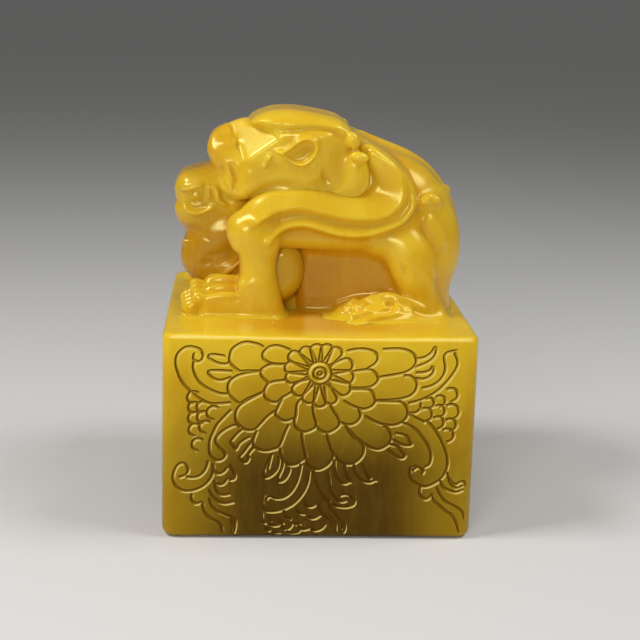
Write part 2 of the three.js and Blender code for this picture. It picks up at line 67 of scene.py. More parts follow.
class Side(Enum):
    """Which side of the beasts a form is on."""

    NEAR = -1
    FAR = 1


# Tools of the carver: distances on a grid


def smooth_path(stations: np.ndarray, steps: int) -> np.ndarray:
    """Points on the Catmull-Rom curve through the stations, all columns at once.

    Args:
        stations: rows of numbers, one row for each station.
        steps: how many points each span gives.

    Returns:
        The rows along the curve, the last station included.
    """
    p = np.asarray(stations, float)
    if len(p) < 3:
        return np.linspace(p[0], p[-1], steps + 1)
    p = np.vstack([2 * p[0] - p[1], p, 2 * p[-1] - p[-2]])
    t = (np.arange(steps) / steps)[None, :, None]
    a, b, c, d = p[:-3, None], p[1:-2, None], p[2:-1, None], p[3:, None]
    curve = 0.5 * (2 * b + (c - a) * t + (2 * a - 5 * b + 4 * c - d) * t**2 + (3 * b - a - 3 * c + d) * t**3)
    return np.vstack([curve.reshape(-1, p.shape[1]), p[-2]])


def oval_distance(square: np.ndarray, quartic: np.ndarray) -> np.ndarray:
    """The near distance to an oval, k0 (k0 - 1) / k1, from the sums of (u / a)^2 and of (u / a^2)^2."""
    k0 = np.sqrt(square)
    return k0 * (k0 - 1) / np.sqrt(quartic + 1e-9)


class StoneField:
    """Distances to the stone's skin on a grid of points, below zero inside the stone."""

    def __init__(self, low: tuple, high: tuple, pitch: float) -> None:
        """Starts with no stone at all between two corners.

        Args:
            low: lowest corner in millimetres.
            high: highest corner in millimetres.
            pitch: distance between grid points in millimetres.
        """
        self.pitch = pitch
        self.low = np.array(low, float)
        counts = [int(math.ceil((h - l) / pitch)) + 1 for l, h in zip(low, high)]
        self.axes = [l + pitch * np.arange(n) for l, n in zip(low, counts)]
        self.values = np.full(counts, NO_STONE, np.float32)

    def window(self, low: np.ndarray, high: np.ndarray) -> tuple:
        """The part of the grid between two corners.

        Args:
            low: the lowest corner in millimetres.
            high: the highest corner.

        Returns:
            Its slices, and its coordinates along each axis, shaped to broadcast.
        """
        spans, coords = [], []
        for axis in range(3):
            first = max(int((low[axis] - self.low[axis]) / self.pitch), 0)
            last = min(int((high[axis] - self.low[axis]) / self.pitch) + 2, self.values.shape[axis])
            spans.append(slice(first, max(last, first)))
            shape = [1, 1, 1]
            shape[axis] = -1
            coords.append(self.axes[axis][spans[-1]].astype(np.float32).reshape(shape))
        return tuple(spans), coords

    def join(self, form: Form) -> None:
        """Adds a form, with a fillet where it meets the stone: the smooth minimum of both distances.

        Args:
            form: what is added.
        """
        spans, distance = form.distance(self)
        k = form.blend
        here = self.values[spans]
        if k <= 0:
            np.minimum(here, distance, out=here)
            return
        share = np.clip(0.5 + 0.5 * (distance - here) / k, 0, 1)
        here[...] = distance + (here - distance) * share - k * share * (1 - share)

    def carve(self, form: Form) -> None:
        """Takes a form away, with a rounded rim: the smooth maximum of the stone and the form turned out.

        Args:
            form: what is taken away.
        """
        spans, distance = form.distance(self)
        k = form.blend
        here = self.values[spans]
        share = np.clip(0.5 - 0.5 * (here + distance) / k, 0, 1)
        here[...] = here + (-distance - here) * share + k * share * (1 - share)

    def relief(self, line: Line, side: Side, mid: float, inner: float) -> None:
        """Raises or sinks the skin along a line drawn on the side view, on one side of the beast.

        Args:
            line: the line in x and z, with its half width and height.
            side: the side that it is cut on.
            mid: where the plane between the two sides lies.
            inner: how far from that plane the line starts to show.
        """
        path = smooth_path(np.array(line.points), 6)
        right = line.width if line.right is None else line.right
        reach = max(line.width, right)
        low = (path[:, 0].min() - reach, -BEYOND, path[:, 1].min() - reach)
        high = (path[:, 0].max() + reach, BEYOND, path[:, 1].max() + reach)
        spans, (x, y, z) = self.window(low, high)
        x, z = x[:, 0], z[:, 0, :]
        near = np.full(np.broadcast_shapes(x.shape, z.shape), BEYOND, np.float32)
        along = np.zeros_like(near)
        width = np.full_like(near, line.width)
        for i, (a, b) in enumerate(zip(path[:-1], path[1:])):
            d = b - a
            t = np.clip(((x - a[0]) * d[0] + (z - a[1]) * d[1]) / max(d @ d, 1e-9), 0, 1)
            gap = np.hypot(x - a[0] - t * d[0], z - a[1] - t * d[1])
            closer = gap < near
            near = np.where(closer, gap, near)
            along = np.where(closer, (i + t) / (len(path) - 1), along)
            hand = d[0] * (z - a[1]) - d[1] * (x - a[0])
            width = np.where(closer, np.where(hand < 0, right, line.width), width)
        ends = np.clip(along / line.taper, 0, 1) * np.clip((1 - along) / line.taper, 0, 1)
        swell = line.height * np.clip(1 - near / width, 0, 1) ** line.power * ends
        facing = np.clip((side.value * (y - mid) - inner) / 2, 0, 1)
        self.values[spans] -= swell[:, None, :] * facing

    def soften(self, passes: int) -> None:
        """Rounds every crest and valley as polishing does: each pass averages a point with its neighbours.

        Args:
            passes: how often it is done.
        """
        v = self.values
        for _ in range(passes):
            for axis in range(3):
                v = np.moveaxis(v, axis, 0)
                middle = 0.5 * v[1:-1] + 0.25 * (v[:-2] + v[2:])
                v[1:-1] = middle
                v = np.moveaxis(v, 0, axis)
        self.values = np.ascontiguousarray(v)

    def widely(self, reach: int) -> np.ndarray:
        """The distances averaged over a cube of `reach` points each way, from running sums.

        Args:
            reach: how many points each way.

        Returns:
            The averages on the same grid.
        """
        v = self.values.astype(np.float64)
        for axis in range(3):
            v = np.moveaxis(v, axis, 0)
            padded = np.concatenate([np.repeat(v[:1], reach + 1, 0), v, np.repeat(v[-1:], reach, 0)])
            sums = np.cumsum(padded, 0)
            v = np.moveaxis((sums[2 * reach + 1:] - sums[:-2 * reach - 1]) / (2 * reach + 1), 0, axis)
        return v.astype(np.float32)

    def sample(self, values: np.ndarray, points: np.ndarray) -> np.ndarray:
        """The values at any points, blended linearly from the eight grid points around each.

        Args:
            values: numbers on the grid.
            points: rows of x, y, z.

        Returns:
            One number for each point.
        """
        q = (points - self.low) / self.pitch
        top = np.array(values.shape) - 2
        base = np.clip(np.floor(q).astype(int), 0, top)
        f = np.clip(q - base, 0, 1)
        total = np.zeros(len(points))
        for corner in itertools.product((0, 1), repeat=3):
            share = np.prod([f[:, a] if c else 1 - f[:, a] for a, c in enumerate(corner)], axis=0)
            i, j, k = (base + corner).T
            total += share * values[i, j, k]
        return total

    def slope(self, points: np.ndarray) -> np.ndarray:
        """The direction in which the distance grows at any points, by differences half a pitch each way.

        Args:
            points: rows of x, y, z.

        Returns:
            One direction for each point.
        """
        step = 0.5 * self.pitch
        columns = []
        for axis in range(3):
            shift = np.zeros(3)
            shift[axis] = step
            ahead = self.sample(self.values, points + shift)
            columns.append((ahead - self.sample(self.values, points - shift)) / (2 * step))
        return np.stack(columns, 1)

    def settle(self, points: np.ndarray, rounds: int) -> np.ndarray:
        """Moves points onto the skin, each by its distance along the slope.

        Args:
            points: rows of x, y, z.
            rounds: how often they are moved.

        Returns:
            The moved points.
        """
        for _ in range(rounds):
            slope = self.slope(points)
            length = np.maximum((slope**2).sum(1), 0.05)
            step = self.sample(self.values, points) / length
            points = points - np.clip(step, -self.pitch, self.pitch)[:, None] * slope
        return points

    def skin(self) -> tuple:
        """The closed skin of the stone: one point in each grid cell that it crosses, joined to quads.

        Returns:
            The points in millimetres and the quads, both as arrays.
        """
        v = self.values.copy()
        for axis in range(3):
            edge = np.moveaxis(v, axis, 0)
            edge[0] = np.maximum(edge[0], 0.3)
            edge[-1] = np.maximum(edge[-1], 0.3)
        inside = v < 0
        cells = [n - 1 for n in v.shape]
        count = np.zeros(cells, np.int8)
        for i, j, k in itertools.product((0, 1), repeat=3):
            count += inside[i:i + cells[0], j:j + cells[1], k:k + cells[2]]
        crossed = (count > 0) & (count < 8)
        index = np.full(cells, -1, np.int64)
        index[crossed] = np.arange(crossed.sum())
        home = np.argwhere(crossed)
        points = self.settle(self.low + self.pitch * (home + self.crossing(v, home)), 2)
        quads = self.joined(inside, index)
        for _ in range(2):
            points = self.settle(even_out(points, quads, 0.5), 1)
        return self.settle(points, 2), quads

    @staticmethod
    def crossing(values: np.ndarray, home: np.ndarray) -> np.ndarray:
        """Where the skin crosses each cell: the mean of its cuts through the cell's edges, from 0 to 1.

        Args:
            values: distances on the grid.
            home: the lowest corner of each crossed cell.

        Returns:
            One place for each cell.
        """
        corner = {c: values[home[:, 0] + c[0], home[:, 1] + c[1], home[:, 2] + c[2]]
                  for c in itertools.product((0, 1), repeat=3)}
        total = np.zeros((len(home), 3))
        hits = np.zeros(len(home))
        for start in corner:
            for axis in range(3):
                if start[axis]:
                    continue
                end = tuple(1 if a == axis else s for a, s in enumerate(start))
                a, b = corner[start], corner[end]
                cut = (a < 0) != (b < 0)
                t = np.where(cut, a / np.where(cut, a - b, 1), 0)
                for other in range(3):
                    total[:, other] += cut * (t if other == axis else start[other])
                hits += cut
        return total / hits[:, None]

    @staticmethod
    def joined(inside: np.ndarray, index: np.ndarray) -> np.ndarray:
        """The quads: one round each grid edge that leaves the stone, through the four cells beside it.

        Args:
            inside: which grid points are in the stone.
            index: the number of each cell's point.

        Returns:
            Rows of four numbers, turned so that the quad faces out.
        """
        cells = index.shape
        quads = []
        for axis in range(3):
            one, two = (axis + 1) % 3, (axis + 2) % 3
            a = np.moveaxis(inside, axis, 0)
            change = np.moveaxis(a[:-1] != a[1:], 0, axis)
            lower = np.moveaxis(a[:-1], 0, axis)
            where = np.argwhere(change)
            keep = (where[:, one] > 0) & (where[:, two] > 0)
            keep &= (where[:, one] < cells[one]) & (where[:, two] < cells[two])
            where = where[keep]
            solid = lower[where[:, 0], where[:, 1], where[:, 2]]
            ring = []
            for back_one, back_two in ((1, 1), (0, 1), (0, 0), (1, 0)):
                at = where.copy()
                at[:, one] -= back_one
                at[:, two] -= back_two
                ring.append(index[at[:, 0], at[:, 1], at[:, 2]])
            ring = np.stack(ring, 1)
            quads.append(np.where(solid[:, None], ring, ring[:, ::-1]))
        return np.vstack(quads)


def even_out(points: np.ndarray, quads: np.ndarray, share: float) -> np.ndarray:
    """Moves each point towards the mean of its neighbours along the quads' edges.

    Args:
        points: one row for each point.
        quads: rows of four points' numbers.
        share: how far, 1 for all the way.

    Returns:
        The moved points.
    """
    a = quads.ravel()
    b = np.roll(quads, -1, axis=1).ravel()
    ends, starts = np.concatenate([a, b]), np.concatenate([b, a])
    count = np.bincount(ends, minlength=len(points))[:, None]
    mean = np.stack([np.bincount(ends, points[starts, axis], len(points)) for axis in range(3)], 1) / count
    return points + share * (mean - points)


# The forms that the carver leaves or takes


@dataclass(frozen=True)
class Line:
    """A ridge or groove drawn on the side view.

    Points are x and z. Width is how far the line reaches on its left hand, and right on its right hand, which
    is the same if it isn't given. Height is above zero for a ridge. Taper is the share of the length over
    which each end fades, and power shapes the crest.
    """

    points: tuple
    width: float
    height: float
    taper: float
    right: float | None = None
    power: float = 1.0


@dataclass(frozen=True)
class Limb:
    """Oval sections carried along a smooth path, with rounded ends.

    A station is x, y, z, the half width along `side`, and the half width square to it.
    """

    stations: tuple
    side: tuple = (0.0, 1.0, 0.0)
    blend: float = 0.0
    steps: int = 4

    def mirrored(self, mid: float = MID_Y) -> Limb:
        """The same limb on the other side of the plane at `mid`."""
        rows = tuple((x, 2 * mid - y, z, a, b) for x, y, z, a, b in self.stations)
        return replace(self, stations=rows, side=(self.side[0], -self.side[1], self.side[2]))

    def distance(self, stone: StoneField) -> tuple:
        """The distance to the limb around it: the least of those to its short straight pieces.

        Args:
            stone: the field round it.

        Returns:
            Its slices of the grid, and the distances there.
        """
        rows = smooth_path(np.array(self.stations), self.steps)
        rows[:, 3:] = np.maximum(rows[:, 3:], 0.15)
        reach = rows[:, 3:].max() + self.blend + MARGIN
        spans, _ = stone.window((rows[:, :3] - reach).min(0), (rows[:, :3] + reach).max(0))
        whole = np.full([s.stop - s.start for s in spans], NO_STONE, np.float32)
        for first, last in zip(rows[:-1], rows[1:]):
            gap = max(first[3:].max(), last[3:].max()) + self.blend + MARGIN
            low, high = np.minimum(first[:3], last[:3]) - gap, np.maximum(first[:3], last[:3]) + gap
            box, (x, y, z) = stone.window(low, high)
            local = tuple(slice(b.start - s.start, b.stop - s.start) for b, s in zip(box, spans))
            if any(s.stop <= s.start for s in local):
                continue
            d = (last[:3] - first[:3]).astype(np.float32)
            length = float(d @ d)
            x, y, z = x - np.float32(first[0]), y - np.float32(first[1]), z - np.float32(first[2])
            t = np.clip((x * d[0] + y * d[1] + z * d[2]) / max(length, 1e-9), 0, 1)
            x, y, z = x - t * d[0], y - t * d[1], z - t * d[2]
            ahead = d / max(math.sqrt(length), 1e-9)
            across = np.array(self.side, np.float32) - ahead * float(np.dot(self.side, ahead))
            across /= max(float(np.linalg.norm(across)), 1e-6)
            up = np.cross(ahead, across)
            u = (x * across[0] + y * across[1] + z * across[2]) ** 2
            v = (x * up[0] + y * up[1] + z * up[2]) ** 2
            w = np.maximum(x * x + y * y + z * z - u - v, 0)
            a = (first[3] + (last[3] - first[3]) * t) ** 2
            b = (first[4] + (last[4] - first[4]) * t) ** 2
            c = 0.25 * (np.sqrt(a) + np.sqrt(b)) ** 2
            near = oval_distance(u / a + v / b + w / c, u / a**2 + v / b**2 + w / c**2)
            np.minimum(whole[local], near, out=whole[local])
        return spans, whole


@dataclass(frozen=True)
class Egg:
    """An oval body with its own half sizes, tilted in the side view and turned in plan, in degrees."""

    centre: tuple
    half: tuple
    tilt: float = 0.0
    turn: float = 0.0
    blend: float = 0.0

    def mirrored(self, mid: float = MID_Y) -> Egg:
        """The same egg on the other side of the plane at `mid`."""
        x, y, z = self.centre
        return replace(self, centre=(x, 2 * mid - y, z), turn=-self.turn)

    def distance(self, stone: StoneField) -> tuple:
        """The distance to the egg around it: that to an oval, along the egg's own axes.

        Args:
            stone: the field round it.

        Returns:
            Its slices of the grid, and the distances there.
        """
        plan = Matrix.Rotation(math.radians(self.turn), 3, "Z")
        axes = np.array(plan @ Matrix.Rotation(math.radians(self.tilt), 3, "Y"))
        half = np.array(self.half)
        reach = np.sqrt(((axes * half) ** 2).sum(1)) + self.blend + MARGIN
        centre = np.array(self.centre)
        spans, (x, y, z) = stone.window(centre - reach, centre + reach)
        x, y, z = x - centre[0], y - centre[1], z - centre[2]
        square, quartic = 0.0, 0.0
        for axis in range(3):
            u = (x * axes[0, axis] + y * axes[1, axis] + z * axes[2, axis]) ** 2
            square = square + u / half[axis] ** 2
            quartic = quartic + u / half[axis] ** 4
        return spans, oval_distance(square, quartic).astype(np.float32)


@dataclass(frozen=True)
class Facet:
    """A body with flat faces: the most of the distances to its planes, each a point and a way out."""

    planes: tuple
    low: tuple
    high: tuple
    blend: float = 0.0

    def mirrored(self, mid: float = MID_Y) -> Facet:
        """The same body on the other side of the plane at `mid`.

        Args:
            mid: where the plane is.

        Returns:
            The twin.
        """
        planes = tuple(((p[0], 2 * mid - p[1], p[2]), (n[0], -n[1], n[2])) for p, n in self.planes)
        low = (self.low[0], 2 * mid - self.high[1], self.low[2])
        high = (self.high[0], 2 * mid - self.low[1], self.high[2])
        return replace(self, planes=planes, low=low, high=high)

    def distance(self, stone: StoneField) -> tuple:
        """The distance to the body inside its box: the most of those to its planes.

        Args:
            stone: the field round it.

        Returns:
            Its slices of the grid, and the distances there.
        """
        spans, (x, y, z) = stone.window(np.array(self.low), np.array(self.high))
        most = None
        for point, out in self.planes:
            n = np.array(out) / np.linalg.norm(out)
            gap = (x - point[0]) * n[0] + (y - point[1]) * n[1] + (z - point[2]) * n[2]
            most = gap if most is None else np.maximum(most, gap)
        return spans, most.astype(np.float32)


def grown(term: float | tuple, x: object, z: object) -> object:
    """A term that is a plain number, or a value at x = z = 0 with its growth along x and along z.

    Args:
        term: the number, or the three.
        x: places along x.
        z: places along z.

    Returns:
        The term at those places.
    """
    if not isinstance(term, tuple):
        return term
    start, along, up = term
    return start + along * x + up * z


@dataclass(frozen=True)
class Pillow:
    """A form cut along an outline drawn on the side view, with two flat faces and rounded edges.

    The outline holds x and z. Middle and half are the y between the faces and half the thickness, each a term
    that may grow along x and z. Rounding is the reach of the rounded edge across the outline, then through
    the thickness.
    """

    outline: tuple
    middle: float | tuple
    half: float | tuple
    rounding: tuple = (2.0, 2.0)
    blend: float = 0.0
    margin: float = 1.6

    def mirrored(self, mid: float = MID_Y) -> Pillow:
        """The same form on the other side of the plane at `mid`.

        Args:
            mid: where the plane is.

        Returns:
            The twin.
        """
        if not isinstance(self.middle, tuple):
            return replace(self, middle=2 * mid - self.middle)
        y, along, up = self.middle
        return replace(self, middle=(2 * mid - y, -along, -up))

    def inset(self, x: np.ndarray, z: np.ndarray) -> np.ndarray:
        """The distance to the outline on the side view, below zero inside it.

        Args:
            x: places along x.
            z: places along z.

        Returns:
            The distance at those places.
        """
        points = np.array(self.outline)
        wrapped = np.vstack([points[-2:], points, points[:2]])
        path = smooth_path(wrapped, 4)[8:-4]
        gap = np.full(np.broadcast_shapes(x.shape, z.shape), 1e6, np.float32)
        inside = np.zeros(gap.shape, bool)
        for a, b in zip(path[:-1], path[1:]):
            d = b - a
            t = np.clip(((x - a[0]) * d[0] + (z - a[1]) * d[1]) / max(d @ d, 1e-9), 0, 1)
            np.minimum(gap, (x - a[0] - t * d[0]) ** 2 + (z - a[1] - t * d[1]) ** 2, out=gap)
            spans = (a[1] > z) != (b[1] > z)
            rise = d[1] if abs(d[1]) > 1e-9 else 1e-9
            inside ^= spans & (x < a[0] + (z - a[1]) * d[0] / rise)
        return np.where(inside, -1, 1) * np.sqrt(gap)

    def distance(self, stone: StoneField) -> tuple:
        """The distance to its outline or to its faces, whichever is more, rounded at the edges.

        Args:
            stone: the field round it.

        Returns:
            Its slices of the grid, and the distances there.
        """
        (left, foot), (right, top) = np.min(self.outline, axis=0), np.max(self.outline, axis=0)
        gap = self.blend + self.margin
        ends = [grown(self.middle, cx, cz) + way * grown(self.half, cx, cz)
                for cx in (left, right) for cz in (foot, top) for way in (-1, 1)]
        low, high = np.array((left, min(ends), foot)), np.array((right, max(ends), top))
        spans, (x, y, z) = stone.window(low - gap, high + gap)
        across, through = self.rounding
        flat = self.inset(x[:, 0], z[:, 0])[:, None, :] / across + 1
        thick = (np.abs(y - grown(self.middle, x, z)) - grown(self.half, x, z)) / through + 1
        a, b = np.maximum(flat, 0), np.maximum(thick, 0)
        size = np.sqrt(a * a + b * b)
        slope = np.sqrt((a / across) ** 2 + (b / through) ** 2)
        edge = (size - 1) * size / np.maximum(slope, 1e-6)
        deep = np.maximum((flat - 1) * across, (thick - 1) * through)
        near = np.maximum(edge, -min(across, through))
        return spans, np.where(size > 0.02, near, deep).astype(np.float32)


Form = Limb | Egg | Facet | Pillow


def pair(*forms: Form, mid: float = MID_Y) -> list:
    """Each form and its twin on the far side."""
    return [twin for form in forms for twin in (form, form.mirrored(mid))]


@dataclass(frozen=True)
class Piece:
    """A finished piece: its name, the slot of its finish, and the CAD nodes that it replaces."""

    name: str
    slot: str
    nodes: tuple

    def place(self, points: np.ndarray, faces: list, material: bpy.types.Material,
              attributes: dict | None = None) -> bpy.types.Object:
        """Makes the object from points in millimetres and lists of faces, and ties it to the frame.

        Args:
            points: one row for each point, in millimetres.
            faces: arrays of faces, one array for each number of corners.
            material: the finish.
            attributes: a number for each point, by name, for the finish to read.

        Returns:
            The object, riding on the root body.
        """
        mesh = bpy.data.meshes.new(self.name)
        mesh.vertices.add(len(points))
        mesh.vertices.foreach_set("co", (points * MM).astype(np.float32).ravel())
        corners = np.concatenate([f.ravel() for f in faces])
        sizes = np.concatenate([np.full(len(f), f.shape[1]) for f in faces])
        mesh.loops.add(len(corners))
        mesh.loops.foreach_set("vertex_index", corners.astype(np.int32))
        mesh.polygons.add(len(sizes))
        starts = np.concatenate([[0], np.cumsum(sizes)[:-1]])
        mesh.polygons.foreach_set("loop_start", starts.astype(np.int32))
        mesh.update(calc_edges=True)
        mesh.validate()
        mesh.shade_smooth()
        for name, values in (attributes or {}).items():
            slot = mesh.attributes.new(name, "FLOAT", "POINT")
            slot.data.foreach_set("value", values.astype(np.float32))
        mesh.materials.append(material)
        piece = bpy.data.objects.new(self.name, mesh)
        bpy.context.scene.collection.objects.link(piece)
        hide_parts(*self.nodes)
        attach(piece, "root")
        log.info("%s: %d points, %d faces", self.name, len(points), len(sizes))
        return piece


# The beasts


@dataclass
class CarvedBeast:
    """What both beasts share: a grid, a way to let the soles run into the block, and a skin.

    Lengths are in millimetres. Mid is the plane between the two sides, and inner how far from it the drawn
    lines start. Skirt is the reach of the fillet round the soles, lap how far under the block's top it is,
    and root how deep the stone goes on below. Fold and bulk are the reaches of the two averages that tell
    the finish how hollow and how thick the stone is.
    """

    piece: Piece
    low: tuple
    high: tuple
    pitch: float
    mid: float = MID_Y
    inner: float = 4.0
    polish: int = 1
    skirt: float = 0.8
    lap: float = 0.06
    root: float = 0.8
    fold: float = 1.8
    bulk: float = 4.5

    def carve(self, stone: StoneField) -> None:
        """Joins and cuts the beast's own forms."""
        raise NotImplementedError

    def lines(self) -> list:
        """The ridges and furrows that are drawn on both sides of it."""
        raise NotImplementedError

    def found(self, stone: StoneField) -> None:
        """Lets the soles run into the block with a fillet, trimmed close round the feet.

        The beast is joined smoothly to a plane just under the block's top, then kept only where it is near
        the beast itself and above a shallow foot.

        Args:
            stone: the beast's field.
        """
        z = stone.axes[2].astype(np.float32)
        beast = stone.values.copy()
        plane = np.broadcast_to((z + self.lap)[None, None, :], beast.shape)
        share = np.clip(0.5 + 0.5 * (plane - beast) / self.skirt, 0, 1)
        joined = plane + (beast - plane) * share - self.skirt * share * (1 - share)
        joined = np.maximum(joined, beast - self.skirt)
        stone.values = np.maximum(joined, -(z + self.root)[None, None, :]).astype(np.float32)

    def build(self, material: bpy.types.Material) -> bpy.types.Object:
        """Carves, polishes and skins the beast, and notes how hollow the stone is at each point.

        Args:
            material: the finish.

        Returns:
            The object.
        """
        stone = StoneField(self.low, self.high, self.pitch)
        self.carve(stone)
        for side in Side:
            for line in self.lines():
                stone.relief(line, side, self.mid, self.inner)
        stone.soften(self.polish)
        if self.low[2] < 0:
            self.found(stone)
            stone.soften(1)
        points, quads = stone.skin()
        # These two averages drive the finish's painted light on thin crests and painted shade in hollows and
        # thick parts.
        deep, broad = (stone.sample(stone.widely(int(round(reach / self.pitch))), points)
                       for reach in (self.fold, self.bulk))
        lifted = points + (0, 0, BLOCK_TOP)
        return self.piece.place(lifted, [quads], material, {"hollow": -deep, "bulk": -broad})


@dataclass
class MotherBody(CarvedBeast):
    """Trunk, legs, flame bands, spine and tail of the mother."""

    piece: Piece = Piece(
        "mother_trunk_and_legs", "mother_stone",
        ("mother_body", "mother_foreleg_near", "mother_foreleg_far", "mother_hindleg_near",
         "mother_hindleg_far", "mother_flame_near", "mother_flame_far", "mother_tail"))
    low: tuple = (-27.5, -23.5, -1.0)
    high: tuple = (30.5, 26.5, 37.0)
    pitch: float = 0.3

    def trunk(self) -> list:
        """Arched back and rump, the stone left under the belly, and the spine's ridge.

        Returns:
            The forms to join.
        """
        back = ((-12, 29), (0, 33), (6.4, 35.6), (10.1, 33.9), (15.7, 31.7), (18.6, 30.6), (21.6, 28.9),
                (23.8, 26.8), (25.8, 24.1), (27.3, 21.4), (28.6, 18.2), (29.3, 14.5), (29.3, 11.4),
                (28.8, 8.6), (27.6, 4.3), (26.8, -2), (18, -2), (15.6, 5), (12, 11.2), (4, 12.4),
                (-8, 12.6), (-13.4, 14), (-15, 20), (-14.5, 25))
        core = ((-2.4, -3), (20, -3), (20, 16), (8, 17.4), (-2.4, 16))
        flank = ((-11, 13.6), (-4, 12.7), (4, 12.4), (10.5, 12.2), (15, 10.4), (19, 14), (19, 20), (8, 21),
                 (-6, 21), (-12, 18))
        return [
            Pillow(back, 2.2, 13.8, (8, 8.5)),
            Pillow(core, 2, (10.6, 0.16, 0), (2, 2), blend=2),
            Pillow(flank, 2, 14.2, (2.6, 3.4), blend=1.6),
            Limb(((9, 2, 33.8, 1.4, 1.2), (12.5, 2.2, 32.4, 1.5, 1.3), (18.4, 2.6, 30, 1.5, 1.3),
                  (23.2, 3, 26.4, 1.6, 1.3), (27, 3, 20.6, 1.6, 1.3), (28.4, 3, 13.5, 1.5, 1.2)), blend=2),
        ]

    def legs(self) -> list:
        """Forelegs with their round shoulders, thighs, and the backs of the hind feet.

        Returns:
            The forms to join.
        """
        foreleg = ((-8.6, 15.3), (-10.4, 17.6), (-13, 19.6), (-15.1, 20), (-17.1, 19), (-17.8, 17.2),
                   (-17.4, 15.4), (-16.8, 14), (-16.1, 11.9), (-15.9, 9.2), (-16, 6.5), (-16, 2), (-16, -2),
                   (-6.8, -2), (-7, 2.4), (-8, 6.5), (-8.4, 9.2), (-8.2, 12.4))
        thigh = ((9, 17), (14.5, 18.6), (18.1, 17.6), (20, 15.8), (21.8, 13.6), (23.2, 9.4), (24.6, 5.3),
                 (25.2, 1.5), (25, -2), (14.6, -2), (15, 3), (15.6, 6), (14.6, 8.6), (12.4, 11), (9, 12.6))
        hock = ((2.6, -2), (3.4, 0.6), (6, 2.2), (10, 3.6), (14.5, 4.8), (19.5, 5), (24, 3.4), (25, -2))
        return pair(
            Pillow(foreleg, -9.6, 5.8, (3.2, 4.4), blend=0.8),
            Egg((-12.8, -12, 16.2), (4.8, 3, 4.6), blend=3),
            Pillow(thigh, -7.6, 5.8, (3.4, 3.8), blend=0.9),
            Egg((18.6, -12, 10.4), (4.4, 2.6, 7), tilt=-20, blend=1.6),
            Pillow(hock, (-8.6, 0.06, 0.5), (6.4, 0, -0.5), (1.6, 1.8), blend=1.2),
            Egg((13.4, -12, -1), (9, 6.4, 3.3), blend=1.6),
        )

    def paws(self) -> list:
        """The forepaws' blocks, which stand flush with the legs.

        Returns:
            The forms to join.
        """
        block = ((-22.8, -2), (-22.8, 4.6), (-22, 6.6), (-20.4, 7.2), (-16, 7.4), (-12, 8), (-10, 6),
                 (-9, -2))
        return pair(Pillow(block, -10.4, 5, (1.4, 2.6), blend=1.2))

    def paw_slopes(self) -> list:
        """The planes that slope the paws' backs down to the outside."""
        planes = (((-19, -15.4, 3.4), (0, 0.55, -1)), ((-15.9, 0, 0), (1, 0, 0)))
        return pair(Facet(planes, (-28, -19, 2), (-14, -6, 12), blend=1))

    def fore_toes(self) -> list:
        """Three tendons along each paw's back, and four short toes with a knuckle, a tip and a claw.

        Returns:
            The forms to join.
        """
        forms = []
        for i in range(3):
            y = -14.5 + 2.3 * i
            z = 3.45 + 0.55 * (y + 15.4)
            tendon = ((-21.6, y, z - 0.4, 0.8, 0.8), (-19.4, y, z, 0.95, 0.95),
                      (-16.6, y + 0.1, z, 0.9, 0.9))
            forms.append(Limb(tendon, blend=0.2))
        for i in range(4):
            y = -14.2 + 2.1 * i
            x = -23.4 - 0.2 * i
            forms += [
                Egg((x, y, 3.3 + 0.45 * i), (1.8, 1.2, 1.5), tilt=35, blend=0.5),
                Egg((x - 1.7, y + 0.1, 1.4 + 0.3 * i), (1.6, 1.15, 1.5), tilt=55, blend=0.5),
                Limb(((x - 2, y, 2.9 + 0.3 * i, 0.35, 0.3), (x - 3.3, y, 1.7 + 0.3 * i, 0.45, 0.4),
                      (x - 3.5, y, 0.3, 0.3, 0.25)), blend=0.15),
            ]
        return pair(*forms)

    def hind_toes(self) -> list:
        """The hind foot's four narrow toes, which fan out of its low mound, and the ridges across them.

        Returns:
            The forms to join.
        """
        toes = (
            ((21.4, -14, 1.8), (17, -13.8, 3), (13.4, -13.2, 3.6), (8.4, -12.2, 2.4)),
            ((15.4, -13, 3), (12, -13.6, 2.8), (8.6, -13.2, 1.8), (5.2, -13, 0.6)),
            ((18.4, -14.6, 1.8), (13.4, -15.4, 1.9), (10, -15.8, 1.4), (6, -16.4, 0.3)),
            ((18.6, -15.2, 1.2), (14.8, -17, 1.2), (11, -18, 0.8), (7.4, -19, 0.1)),
        )
        wrinkles = (
            ((11.4, -11.6, 3.5), (10.2, -12.6, 3.1)), ((13, -14.4, 2.4), (10.6, -14.8, 2.2)),
            ((9.7, -13.6, 3.1), (11.5, -13.8, 3.2)), ((5.4, -13.6, 1.3), (8.1, -14, 1.5)),
            ((8, -13.2, 2), (7.2, -14.6, 1.4)), ((13.4, -16, 1.9), (11.2, -17, 1.4)),
            ((9.6, -15.2, 1.8), (8.2, -17, 1)), ((6.5, -17.8, 0.5), (8.4, -17.6, 1.1)),
            ((8.4, -17.6, 1.1), (10.4, -17.4, 1.7)), ((16.2, -15.6, 1.7), (15, -17, 1.2)),
            ((17.4, -13.2, 3), (15.6, -14.6, 2.4)), ((14.6, -11.6, 3.9), (12.4, -12.8, 3.3)),
            ((7.6, -11.4, 2.6), (6, -12.6, 1.8)),
        )
        halves = (0.3, 0.5, 0.55, 0.3)
        forms = []
        for toe in toes:
            path = np.array(toe)
            ahead = path[3, :2] - path[1, :2]
            ahead /= np.linalg.norm(ahead)
            rows = tuple((*point, r, max(r, 0.45 * point[2])) for point, r in zip(toe, halves))
            forms.append(Limb(rows, side=(ahead[1], -ahead[0], 0), blend=0.15))
        for first, last in wrinkles:
            forms.append(Limb(((*first, 0.4, 1.2), (*last, 0.35, 1)), blend=0.1))
        return pair(*forms)

